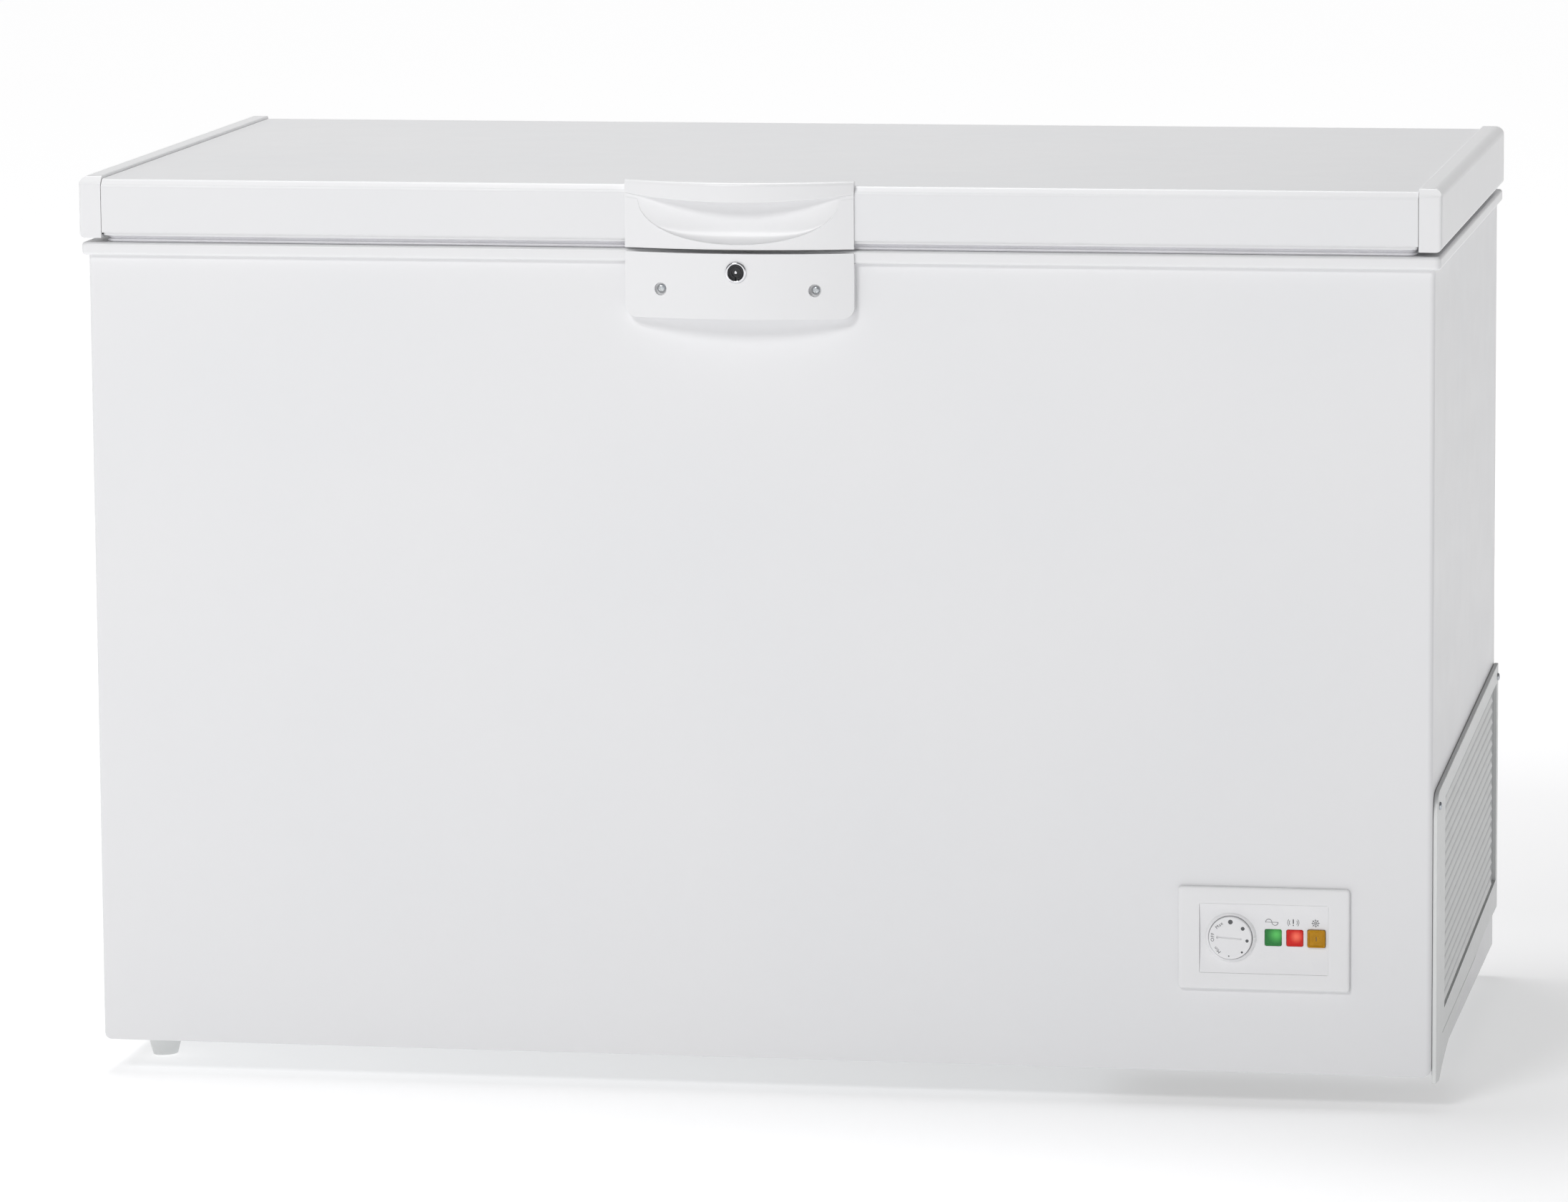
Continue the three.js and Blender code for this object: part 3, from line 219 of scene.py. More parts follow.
def zinc_plate():
    s = Surface("zinc_plate", (0.58, 0.62, 0.67), 0.3, metallic=0.95)
    s.tint(s.noise(11), (0.66, 0.64, 0.55), 0.5).tint(s.noise(4), (0.40, 0.42, 0.46), 0.4)
    return s.rough(s.noise(5), 0.1).bump(s.noise(0.4), 0.01, 0.4)


def chrome():
    s = Surface("chrome", (0.80, 0.80, 0.82), 0.12, metallic=1.0)
    s.tint(s.noise(4), (0.55, 0.56, 0.60), 0.4)
    return s.rough(s.noise(2, stretch=(1, 1, 6)), 0.06)


def copper():
    s = Surface("copper", (0.62, 0.30, 0.17), 0.32, metallic=0.95)
    s.tint(s.noise(18), (0.30, 0.13, 0.08), 0.7).tint(s.noise(5), (0.70, 0.42, 0.28), 0.4)
    return s.rough(s.noise(6), 0.12)


def black_enamel():
    s = Surface("black_enamel", (0.014, 0.014, 0.016), 0.3, coat=0.3)
    s.tint(s.noise(20), (0.05, 0.05, 0.052), 0.5).rough(s.noise(8), 0.1)
    return s.bump(s.noise(2.5), 0.05, 0.4)


def black_plastic():
    s = Surface("black_plastic", (0.012, 0.012, 0.014), 0.38)
    s.tint(s.noise(7), (0.03, 0.03, 0.035), 0.5).rough(s.noise(3), 0.1)
    return s.bump(s.noise(0.5), 0.02, 0.5)


def black_rubber():
    s = Surface("black_rubber", (0.02, 0.02, 0.021), 0.75)
    s.tint(s.noise(6), (0.05, 0.05, 0.052), 0.6).rough(s.noise(4), 0.12)
    return s.bump(s.noise(0.7), 0.05, 0.5)


def seal_vinyl():
    s = Surface("seal_vinyl", (0.82, 0.815, 0.845), 0.5)
    s.tint(s.noise(40), (0.74, 0.74, 0.76), 0.5).rough(s.noise(8), 0.1)
    return s.bump(s.noise(1.2), 0.03, 0.4)


def rigid_foam():
    s = Surface("rigid_foam", (0.72, 0.60, 0.33), 0.9)
    s.tint(s.noise(25), (0.60, 0.47, 0.24), 0.6)
    return s.bump(s.cells(1.6).outputs["Distance"], 0.5, 0.8)


def coated_wire():
    s = Surface("coated_wire", (0.80, 0.80, 0.80), 0.3, coat=0.4)
    s.tint(s.noise(15), (0.74, 0.74, 0.73), 0.4).rough(s.noise(4), 0.06)
    return s.bump(s.noise(1.5), 0.03, 0.4)


def marking_ink():
    s = Surface("marking_ink", (0.085, 0.088, 0.095), 0.6)
    s.tint(s.noise(0.8), (0.14, 0.145, 0.15), 0.6)
    return s.rough(s.noise(0.5), 0.1)


def lens(name, node, color, glow, hot, offset, reach):
    """A coloured lens lit from inside: it glows, and most round a spot that is offset from its middle."""
    s = Surface(name, color, 0.24, coat=0.12, coat_roughness=0.06)
    s.set("Specular IOR Level", 0.25)
    s.tint(s.noise(5), [0.7 * part for part in color], 0.4).rough(s.noise(2), 0.05)
    far = s.tree.nodes.new("ShaderNodeVectorMath")
    far.operation = "DISTANCE"
    s.feed(far.inputs[0], s.place)
    far.inputs[1].default_value = (middle(node) + Vector(offset)) * MM
    near = s.ranged(far.outputs["Value"], 1, 0, 0, reach * MM)
    s.feed(s.shader.inputs["Emission Color"], s.blended(near, (*glow, 1), (*hot, 1)))
    s.feed(s.shader.inputs["Emission Strength"], s.ranged(near, 0.35, 1.0, 0, 1))
    return s.bump(s.noise(1.5, 1), 0.02, 0.3)


def green_lens():
    return lens("green_lens", "power_lamp", (0.015, 0.16, 0.035), (0.02, 0.14, 0.03), (0.13, 0.55, 0.12), (3, -5, 3), 9)


def red_lens():
    return lens("red_lens", "alarm_lamp", (0.50, 0.01, 0.006), (0.42, 0.008, 0.006), (0.75, 0.30, 0.18), (1.5, -5, 1.5), 7)


def amber_plastic():
    s = Surface("amber_plastic", (0.52, 0.25, 0.002), 0.28, coat=0.1, coat_roughness=0.08)
    s.set("Specular IOR Level", 0.2)
    s.tint(s.noise(5), (0.40, 0.19, 0.002), 0.6).rough(s.noise(2), 0.06)
    return s.bump(s.noise(1.2), 0.02, 0.3)


MATERIALS = {
    make.__name__: make().material
    for make in (
        painted_steel, moulded_white, dial_white, grille_plastic, louvre_plastic_painted_shade, embossed_aluminium, galvanised_steel,
        zinc_plate, chrome, copper, black_enamel, black_plastic, black_rubber, seal_vinyl, rigid_foam,
        coated_wire, marking_ink, green_lens, red_lens, amber_plastic)}

# ---------------------------------------------------------------- shapes

class Shape:
    """Points in millimetres and faces, ready to be joined, moved, cut and made into a piece."""

    def __init__(self, points=(), faces=()):
        self.points = [Vector(p) for p in points]
        self.faces = [tuple(f) for f in faces]

    def __add__(self, other):
        first = len(self.points)
        return Shape(self.points + other.points, self.faces + [tuple(i + first for i in f) for f in other.faces])

    def changed(self, rule):
        return Shape([rule(p) for p in self.points], self.faces)

    def moved(self, *offset):
        return self.changed(lambda p: p + Vector(offset))

    def spun(self, angle, axis):
        turn = Matrix.Rotation(angle, 3, axis)
        return self.changed(lambda p: turn @ p)

    def mirrored(self):
        """Its copy on the other side of X = 0."""
        return Shape([(-p.x, p.y, p.z) for p in self.points], [f[::-1] for f in self.faces])

    def mesh(self, name):
        bm = bmesh.new()
        verts = [bm.verts.new(p) for p in self.points]
        for face in self.faces:
            bm.faces.new([verts[i] for i in face])
        bmesh.ops.remove_doubles(bm, verts=bm.verts, dist=1e-4)
        bmesh.ops.dissolve_degenerate(bm, edges=bm.edges, dist=1e-4)
        bmesh.ops.recalc_face_normals(bm, faces=bm.faces)
        data = bpy.data.meshes.new(name)
        bm.to_mesh(data)
        bm.free()
        return data


def joined(shapes):
    return sum(shapes, Shape())


def modified(shape, others, change):
    """The shape after change() has put modifiers on its object; others are objects that these may use."""
    objects = [bpy.data.objects.new("scratch", s.mesh("scratch")) for s in (shape, *others)]
    for made in objects:
        bpy.context.scene.collection.objects.link(made)
    change(objects[0], objects[1:])
    bpy.context.view_layer.update()
    data = bpy.data.meshes.new_from_object(objects[0].evaluated_get(bpy.context.evaluated_depsgraph_get()))
    result = Shape([v.co for v in data.vertices], [tuple(p.vertices) for p in data.polygons])
    for made in objects:
        bpy.data.meshes.remove(made.data)
    bpy.data.meshes.remove(data)
    return result


def combined(shape, others, operation):
    def change(target, tools):
        for tool in tools:
            step = target.modifiers.new("step", "BOOLEAN")
            step.operation, step.solver, step.object = operation, "EXACT", tool
    return modified(shape, others, change)


def carved(shape, cutters):
    """The shape with each cutter taken out of it."""
    return combined(shape, cutters, "DIFFERENCE")


def overlap(shape, others):
    """What the shape has in common with all the others."""
    return combined(shape, others, "INTERSECT")


def softened(shape, width, segments=3, angle=30):
    """The shape with its sharp edges rounded over width."""
    def change(target, _):
        bevel = target.modifiers.new("bevel", "BEVEL")
        bevel.width, bevel.segments, bevel.limit_method = width, segments, "ANGLE"
        bevel.angle_limit = radians(angle)
    return modified(shape, (), change)


def thickened(shape, thickness):
    """A sheet given thickness on the side away from its normals."""
    def change(target, _):
        solidify = target.modifiers.new("solidify", "SOLIDIFY")
        solidify.thickness, solidify.offset = thickness, -1
    return modified(shape, (), change)


def oriented(u, v, w, axis):
    """A point drawn as (u, v) on the plane across axis, at w along it."""
    return {"x": (w, u, v), "y": (u, w, v), "z": (u, v, w)}[axis]


def arc(u, v, radius, start, end, steps):
    """Points round (u, v) from the angle start to the angle end, in degrees."""
    angles = [radians(lerp(start, end, i / steps)) for i in range(steps + 1)]
    return [(u + radius * cos(a), v + radius * sin(a)) for a in angles]


def filleted(corners, steps=5):
    """A polygon of (u, v, radius) corners with each one rounded."""
    outline = []
    for i, (u, v, radius) in enumerate(corners):
        here = Vector((u, v))
        back = (Vector(corners[i - 1][:2]) - here).normalized()
        ahead = (Vector(corners[(i + 1) % len(corners)][:2]) - here).normalized()
        half = back.angle(ahead) / 2
        if radius <= 0 or half > radians(89.9):
            outline += [(u, v)] * (steps + 1 if radius > 0 else 1)
            continue
        centre = here + (back + ahead).normalized() * (radius / sin(half))
        first = here + back * (radius / tan(half)) - centre
        last = here + ahead * (radius / tan(half)) - centre
        sweep = atan2(first.cross(last), first.dot(last))
        for k in range(steps + 1):
            spoke = Matrix.Rotation(sweep * k / steps, 2) @ first
            outline.append(tuple(centre + spoke))
    return outline


def rounded_rect(u0, u1, v0, v1, radius, steps=6):
    return filleted([(u0, v0, radius), (u1, v0, radius), (u1, v1, radius), (u0, v1, radius)], steps)


def loft(rings, caps=True, ring_closed=True, loop=False):
    """Quads between neighbouring rings of points; loop joins the last ring to the first."""
    size = len(rings[0])
    points = [p for ring in rings for p in ring]
    faces = []
    around = size if ring_closed else size - 1
    for i in range(len(rings) if loop else len(rings) - 1):
        below, above = i * size, (i + 1) % len(rings) * size
        for j in range(around):
            k = (j + 1) % size
            faces.append((below + j, below + k, above + k, above + j))
    if caps and not loop:
        faces += [tuple(range(size))[::-1], tuple(range(len(points) - size, len(points)))]
    return Shape(points, faces)


def prism(outline, w0, w1, axis):
    return loft([[oriented(u, v, w, axis) for u, v in outline] for w in (w0, w1)])


def block(low, high, radius=0.0):
    """A box between two corners, with its edges rounded where radius is given."""
    outline = [(low[0], low[1]), (high[0], low[1]), (high[0], high[1]), (low[0], high[1])]
    made = prism(outline, low[2], high[2], "z")
    return softened(made, radius) if radius else made


def turned(profile, axis, sides=32, closed=False):
    """A profile of (radius, level) points turned about the axis; closed makes a ring of it."""
    rings = []
    for radius, level in profile:
        turn = [2 * pi * i / sides for i in range(sides)]
        rings.append([oriented(radius * cos(a), radius * sin(a), level, axis) for a in turn])
    return loft(rings, loop=closed)


def tube(path, radius, sides=10, loop=False):
    """A round bar along a path of points."""
    path = [Vector(p) for p in path]
    rings = []
    across = None
    for i, point in enumerate(path):
        before = path[i - 1] if i or loop else point
        after = path[(i + 1) % len(path)] if i < len(path) - 1 or loop else point
        along = (after - before).normalized()
        across = along.orthogonal() if across is None else across - along * across.dot(along)
        across = across.normalized()
        other = along.cross(across)
        rings.append([
            point + radius * (across * cos(2 * pi * k / sides) + other * sin(2 * pi * k / sides))
            for k in range(sides)])
    return loft(rings, loop=loop)


def plate(outlines, w0, w1, axis, bevel=0.0):
    """A flat plate across axis: the first outline is its edge and the others are holes in it."""
    curve = bpy.data.curves.new("scratch", "CURVE")
    curve.dimensions, curve.fill_mode = "2D", "BOTH"
    for outline in outlines:
        spline = curve.splines.new("POLY")
        spline.points.add(len(outline) - 1)
        for point, (u, v) in zip(spline.points, outline):
            point.co = (u, v, 0, 1)
        spline.use_cyclic_u = True
    curve.extrude = (w1 - w0) / 2 - bevel
    curve.bevel_depth, curve.bevel_resolution, curve.offset = bevel, 2, -bevel
    made = bpy.data.objects.new("scratch", curve)
    bpy.context.scene.collection.objects.link(made)
    bpy.context.view_layer.update()
    data = bpy.data.meshes.new_from_object(made.evaluated_get(bpy.context.evaluated_depsgraph_get()))
    centre = (w0 + w1) / 2
    points = [oriented(v.co.x, v.co.y, v.co.z + centre, axis) for v in data.vertices]
    result = Shape(points, [tuple(p.vertices) for p in data.polygons])
    bpy.data.curves.remove(curve)
    bpy.data.meshes.remove(data)
    return result


def new_piece(name, shape, material, body, stands_for=(), angle=38):
    """Makes a shape into a piece of the model, riding on a body, in place of CAD nodes."""
    data = shape.mesh(name)
    data.transform(Matrix.Scale(MM, 4))
    for polygon in data.polygons:
        polygon.use_smooth = True
    data.set_sharp_from_angle(angle=radians(angle))
    data.materials.append(MATERIALS[material] if isinstance(material, str) else material)
    made = bpy.data.objects.new(name, data)
    bpy.context.scene.collection.objects.link(made)
    even = made.modifiers.new("even_normals", "WEIGHTED_NORMAL")
    even.keep_sharp = True
    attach(made, body)
    if stands_for:
        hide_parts(*stands_for)
    return made


# ---------------------------------------------------------------- camera, light and floor

def photo_camera():
    """The photograph's own viewpoint, fitted to the cabinet's corners and edges."""
    data = bpy.data.cameras.new("camera")
    data.sensor_width = 36
    data.lens = 180.0
    data.clip_end = 60
    camera = bpy.data.objects.new("camera", data)
    yaw, pitch, roll = (radians(a) for a in (10.089, -8.442, 0.4))
    turn = Matrix.Rotation(yaw, 4, "Z") @ Matrix.Rotation(pitch, 4, "X") @ Matrix.Rotation(roll, 4, "Y")
    lens_forward = Matrix.Rotation(pi / 2, 4, "X")
    camera.matrix_world = Matrix.Translation(Vector((1298.0, -7463.1, 1542.9)) * MM) @ turn @ lens_forward
    bpy.context.scene.collection.objects.link(camera)
    bpy.context.scene.camera = camera


def area_light(name, place, target, width, height, power, color=(1, 1, 1)):
    data = bpy.data.lights.new(name, "AREA")
    data.shape, data.size, data.size_y = "RECTANGLE", width, height
    data.energy, data.color = power, color
    lamp = bpy.data.objects.new(name, data)
    lamp.location = place
    lamp.rotation_euler = (Vector(target) - Vector(place)).to_track_quat("-Z", "Y").to_euler()
    bpy.context.scene.collection.objects.link(lamp)


def studio():
    """Surroundings that are white at the horizon and dim above, a key light at the left, and one overhead."""
    scene = bpy.context.scene
    scene.view_settings.view_transform = "Standard"
    scene.world = bpy.data.worlds.new("studio")
    scene.world.use_nodes = True
    tree = scene.world.node_tree
    way = tree.nodes.new("ShaderNodeSeparateXYZ")
    tree.links.new(tree.nodes.new("ShaderNodeTexCoord").outputs["Generated"], way.inputs[0])
    level = tree.nodes.new("ShaderNodeMapRange")
    level.interpolation_type = "SMOOTHSTEP"
    for socket, value in (("From Min", 0.04), ("From Max", 0.30), ("To Min", 0.95), ("To Max", 0.17)):
        level.inputs[socket].default_value = value
    tree.links.new(way.outputs["Z"], level.inputs["Value"])
    tree.links.new(level.outputs["Result"], tree.nodes["Background"].inputs["Color"])
    area_light("key", (-1.7, -5.6, 4.7), (0, 0, 0.5), 2.0, 1.5, 160)
    area_light("top", (-0.5, 0.5, 4.2), (-0.1, 0, 0.8), 2.2, 1.6, 86)


def floor(half=30, level=-0.0015):
    """A pale floor that glows a little, so that it stays white up to the soft shadow."""
    data = bpy.data.meshes.new("floor")
    corners = [(x, y, level) for x, y in ((-half, -half), (half, -half), (half, half), (-half, half))]
    data.from_pydata(corners, [], [(0, 1, 2, 3)])
    surface = Surface("floor", (0.60, 0.60, 0.61), 0.9)
    surface.tint(surface.noise(900), (0.58, 0.58, 0.59), 0.5)
    surface.set("Emission Color", (1, 1, 1, 1))
    # Painted shadow: the floor's glow is weakest round a spot just right of the cabinet, which also dims the light the
    # floor throws on the cabinet's right side.
    away = surface.tree.nodes.new("ShaderNodeVectorMath")
    away.operation = "DISTANCE"
    surface.feed(away.inputs[0], surface.place)
    away.inputs[1].default_value = (1.0, 0.1, 0)
    surface.feed(surface.shader.inputs["Emission Strength"], surface.ranged(away.outputs["Value"], 0.48, 0.85, 0.7, 3.2))
    data.materials.append(surface.material)
    made = bpy.data.objects.new("floor", data)
    bpy.context.scene.collection.objects.link(made)


photo_camera()
studio()
floor()

# ---------------------------------------------------------------- cabinet

wrap_low, wrap_high = box("outer_wrap")
rim_low, rim_high = box("top_frame")
skin_low, skin_high = box("lid_skin")
BODY_HALF, BODY_FRONT, BODY_REAR = wrap_high.x, wrap_low.y, wrap_high.y
BODY_BOTTOM, WRAP_TOP = wrap_low.z, wrap_high.z
LID_FRONT, LID_REAR, LID_TOP = skin_low.y, skin_high.y, skin_high.z
RIM_BOTTOM, RIM_TOP = rim_low.z, rim_high.z
SHEET = 1.0
WALL = 62
FOOD = (BODY_HALF - WALL, BODY_FRONT + WALL, BODY_REAR - WALL, 30)  # half width, front, rear, corner radius


def ring(half, front, rear, radius, z, inset=0.0):
    """A rounded rectangle at level z, centred on X = 0 and moved inwards by inset."""
    outline = rounded_rect(
        -half + inset, half - inset, front + inset, rear - inset, max(radius - inset, 0.4), 8)
    return [(x, y, z) for x, y in outline]


def outer_wrap():
    """One bent sheet round the front and sides, with round corners, and windows for what is let into it."""
    corner = 5
    front_left = arc(-BODY_HALF + corner, BODY_FRONT + corner, corner, 180, 270, 12)
    front_right = arc(BODY_HALF - corner, BODY_FRONT + corner, corner, 270, 360, 12)
    outside = [(-BODY_HALF, BODY_REAR)] + front_left + front_right + [(BODY_HALF, BODY_REAR)]
    inside = [
        (x - SHEET if x > 0 else x + SHEET, y) if y >= BODY_FRONT + corner else
        (x * (BODY_HALF - SHEET) / BODY_HALF, BODY_FRONT + corner - (BODY_FRONT + corner - y) * (1 - SHEET / corner))
        for x, y in outside]
    sheet = prism(outside + inside[::-1], BODY_BOTTOM, WRAP_TOP, "z")
    fascia, grille = (box(node) for node in ("control_housing", "side_grille"))
    cutters = [
        block((fascia[0].x, BODY_FRONT - 9, fascia[0].z), (fascia[1].x, BODY_FRONT + 9, fascia[1].z)),
        block((BODY_HALF - 9, -230, 80), (BODY_HALF + 9, 300, 272))]
    low_corner = 8
    for side in (-1, 1):
        centre = (side * (BODY_HALF - low_corner), BODY_BOTTOM + low_corner)
        start = 180 if side < 0 else 270
        quarter = arc(*centre, low_corner, start, start + 90, 8)
        tip = (side * (BODY_HALF + 1), BODY_BOTTOM - 1)
        ends = [(centre[0], BODY_BOTTOM - 1), (side * (BODY_HALF + 1), centre[1])]
        outline = quarter + ([ends[0], tip, ends[1]] if side < 0 else [ends[1], tip, ends[0]])
        cutters.append(prism(outline, BODY_FRONT - 9, BODY_FRONT + 14, "y"))
    new_piece("sheet_wrap", carved(sheet, cutters), "painted_steel", "cabinet", ["outer_wrap"], 25)


def top_frame():
    """The moulded rim round the mouth, with rounded edges and a lip that turns down inside."""
    outer = (rim_high.x, rim_low.y, rim_high.y, 6)
    edge = 3.0
    lower = [(edge - edge * cos(a), RIM_BOTTOM + edge - edge * sin(a)) for a in (radians(90 - 15 * i) for i in range(7))]
    upper = [(edge - edge * cos(a), RIM_TOP - edge + edge * sin(a)) for a in (radians(15 * i) for i in range(7))]
    rings = [ring(*outer, z, inset) for inset, z in lower + upper]
    half, front, rear, corner = FOOD
    mouth = lambda reach, z: ring(half + reach, front - reach, rear + reach, corner + reach, z)
    rings += [mouth(13, RIM_TOP), mouth(11, RIM_TOP - 0.4), mouth(9.9, RIM_TOP - 1.6), mouth(9.7, RIM_BOTTOM)]
    rings += [mouth(11.7, RIM_BOTTOM), mouth(11.7, RIM_TOP - 3.2)]
    skirt = (BODY_HALF + 0.3, BODY_FRONT - 0.3, BODY_REAR + 0.3, 5)
    rings += [ring(*skirt, RIM_TOP - 3.2), ring(*skirt, RIM_BOTTOM)]
    new_piece("rim_frame", loft(rings, loop=True), "moulded_white", "cabinet", ["top_frame"])


def inner_liner():
    """The embossed tank: round corners, a floor fillet, the step over the compressor and a hanging ledge."""
    half, front, rear, corner = FOOD
    low, high = box("inner_liner")
    sheet = 1.2
    floor_level, top = low.z + sheet, high.z
    ledge_level, step_left, step_top, ledge = 750, 269.5, 362.5, 12

    def space(grow):
        fillet = 14 + grow
        rings = []
        for i in range(7):
            a = radians(15 * i)
            inset = fillet * (1 - sin(a)) - grow
            rings.append(ring(half, front, rear, corner, floor_level - grow + fillet * (1 - cos(a)), inset))
        rings.append(ring(half, front, rear, corner, ledge_level - 3, -grow))
        for i in range(1, 5):
            a = radians(22.5 * i)
            rings.append(ring(half, front, rear, corner, ledge_level - 3 * (1 - sin(a)) - grow * 0.6, -grow - 3 * (1 - cos(a))))
        for i in range(5):
            a = radians(22.5 * i)
            reach = ledge - 3 * (1 - sin(a))
            rings.append(ring(half, front, rear, corner, ledge_level - grow * 0.6 + 3 * (1 - cos(a)), -grow - reach))
        rings.append(ring(half, front, rear, corner, top, -grow - ledge))
        room = loft(rings)
        fillet_step = [
            (step_left + grow, 0, 0), (700, 0, 0), (700, step_top - grow, 0),
            (step_left + grow, step_top - grow, 14 - grow)]
        step = prism(filleted(fillet_step, 8), -400, 400, "y")
        return carved(room, [step])
    new_piece(
        "food_liner", carved(space(sheet), [space(0).changed(lambda p: Vector((p.x, p.y, p.z + (p.z > top - 1) * 5)))]),
        "embossed_aluminium", "cabinet", ["inner_liner"], 30)


# ---------------------------------------------------------------- lid

def lid_profile(inset, bottom, shoulder, top, radius):
    """The lid's section in Y and Z, with its bends rounded."""
    front, rear, slope = LID_FRONT + inset, LID_REAR - inset, top - shoulder
    return filleted([
        (front, bottom, 0), (rear, bottom, 0), (rear, shoulder, radius), (rear - slope, top, radius),
        (front + slope, top, radius), (front, shoulder, radius)], 6)


def lid_skin():
    outer = lid_profile(0, skin_low.z, 851, LID_TOP, 5)
    inner = lid_profile(SHEET, skin_low.z, 850.6, LID_TOP - SHEET, 4)
    shell = carved(prism(outer, skin_low.x, skin_high.x, "x"), [
        prism([(y, z - 2 if z < skin_low.z + 1 else z) for y, z in inner], skin_low.x - 1, skin_high.x + 1, "x")])
    hem = filleted([(0, 0, 0.45), (2.6, 0, 0.45), (2.6, 1, 0.45), (0, 1, 0.45)], 3)
    hems = [
        prism([(y0 + side * v, skin_low.z + w) for v, w in hem], skin_low.x, skin_high.x, "x")
        for y0, side in ((LID_FRONT, 1), (LID_REAR, -1))]
    new_piece("lid_sheet", joined([shell] + hems), "painted_steel", "lid", ["lid_skin"], 20)


def end_caps():
    """Moulded ends that wrap the lid's corners and stand a little proud of its sheet."""
    low, high = box("lid_end_cap_right")
    inner, outer, bottom, top = low.x, high.x, low.z, high.z
    across = filleted([(inner, bottom, 0.5), (outer, bottom, 5.5), (outer, top, 9), (inner, top, 1.2)], 8)
    plan = filleted([(inner - 9, LID_FRONT, 0), (outer, LID_FRONT, 3.5), (outer, LID_REAR, 3.5), (inner - 9, LID_REAR, 0)], 8)
    along = lid_profile(0, bottom - 1, 853, top, 5)
    blank = overlap(prism(across, LID_FRONT - 1, LID_REAR + 1, "y"), [
        prism(plan, bottom - 9, top + 9, "z"), prism(along, inner - 9, outer + 9, "x")])
    hollow = block((inner - 5, LID_FRONT + 4, bottom + 3), (outer - 4, LID_REAR - 4, 851))
    cap = softened(carved(blank, [hollow]), 0.7, 3, 35)
    new_piece("end_cap_right", cap, "moulded_white", "lid", ["lid_end_cap_right"])
    new_piece("end_cap_left", cap.mirrored(), "moulded_white", "lid", ["lid_end_cap_left"])


outer_wrap()
top_frame()
inner_liner()
lid_skin()
end_caps()

# ---------------------------------------------------------------- handle and lock

handle_low, handle_high = box("lid_handle")
HANDLE_X, HANDLE_HALF = (handle_low.x + handle_high.x) / 2, (handle_high.x - handle_low.x) / 2
HANDLE_REACH = LID_FRONT - handle_low.y
END_PROUD = 2.2
COVER_BOW = 18
LOCK = Vector((HANDLE_X, LID_FRONT, middle("lock_barrel").z))
COVER_SCREWS = [middle(f"lock_cover_screw_{i}") for i in (1, 2)]


def bow_at(x):
    """How far a bowed front has come forward at x: 1 in its middle, 0 at its ends."""
    return 1 - (x / HANDLE_HALF) ** 2


def handle_section(x):
    """A section through the handle in Y and Z, counted from the lid's front face."""
    bow = bow_at(x)
    bottom, top = handle_low.z, handle_high.z
    pocket = sqrt(max(0.0, 1 - (x / (HANDLE_HALF * 0.88)) ** 2))
    face = -END_PROUD - 16 * bow
    hood = -END_PROUD - (HANDLE_REACH - END_PROUD) * bow
    under = 849.5 - 6 * bow
    lip = lerp(under - 4, 803.4, pocket)
    back = lerp(face + 0.4, -6, pocket)
    bead = 0.5 * min(1.0, 3 * pocket)
    crown_rear = 7 + 19 * sqrt(max(bow, 0))
    front_points = [
        (face, lip - 2.2), (face - bead * 0.8, lip - 1.2), (face - bead, lip - 0.5), (face - bead * 0.6, lip + 0.1),
        (face + 0.25, lip + 0.3)]
    scoop = []
    for i in range(1, 17):
        turn = radians(90 * i / 16)
        scoop.append((lerp(face + 0.25, back, sin(turn)), lerp(lip + 0.3, under - 1, 1 - cos(turn))))
    roof = [(lerp(back, min(hood, back - 0.5), t), under - 0.25 * (1 - t)) for t in (0.12, 0.45, 0.8)]
    crown = []
    for i in range(1, 10):
        t = i / 9
        crown.append((lerp(hood + 4.6, crown_rear, t), top - (top - LID_TOP - 0.3) * t ** 1.8))
    corners = [(-0.3, bottom, 0), (face, bottom, 1.1)] + [(y, z, 0) for y, z in front_points + scoop + roof]
    corners += [(hood, under, 0.9), (hood, top, 3.8)] + [(y, z, 0) for y, z in crown]
    corners += [(6.2, LID_TOP + 0.3, 0), (-0.3, 851.1, 0)]
    return filleted(corners, 5)


def handle():
    rings = []
    stations = 90
    for i in range(stations + 1):
        x = HANDLE_HALF * (2 * i / stations - 1)
        x = HANDLE_HALF * sin(pi / 2 * x / HANDLE_HALF)
        rings.append([(HANDLE_X + x, LID_FRONT + y, z) for y, z in handle_section(x)])
    keeper_low, keeper_high = box("lock_keeper")
    slot = block((keeper_low.x - 0.3, keeper_low.y - 0.3, 790), (HANDLE_X + 21.5, keeper_high.y + 0.3, 808))
    new_piece("handle", carved(loft(rings), [slot]), "moulded_white", "lid", ["lid_handle"], 42)
    keeper = softened(block(keeper_low, keeper_high), 0.3, 2)
    new_piece("keeper_plate", keeper, "zinc_plate", "lid", ["lock_keeper"])


def bowed_outline(inset, back):
    half = HANDLE_HALF - inset
    front = []
    for i in range(61):
        x = half * (2 * i / 60 - 1)
        front.append((HANDLE_X + x, LID_FRONT - END_PROUD - COVER_BOW * bow_at(x) + inset))
    return [(HANDLE_X + half, back), (HANDLE_X - half, back)] + front


def disc(centre, radius, y0, y1, sides=32):
    return turned([(radius, y0), (radius, y1)], "y", sides).moved(centre.x, 0, centre.z)


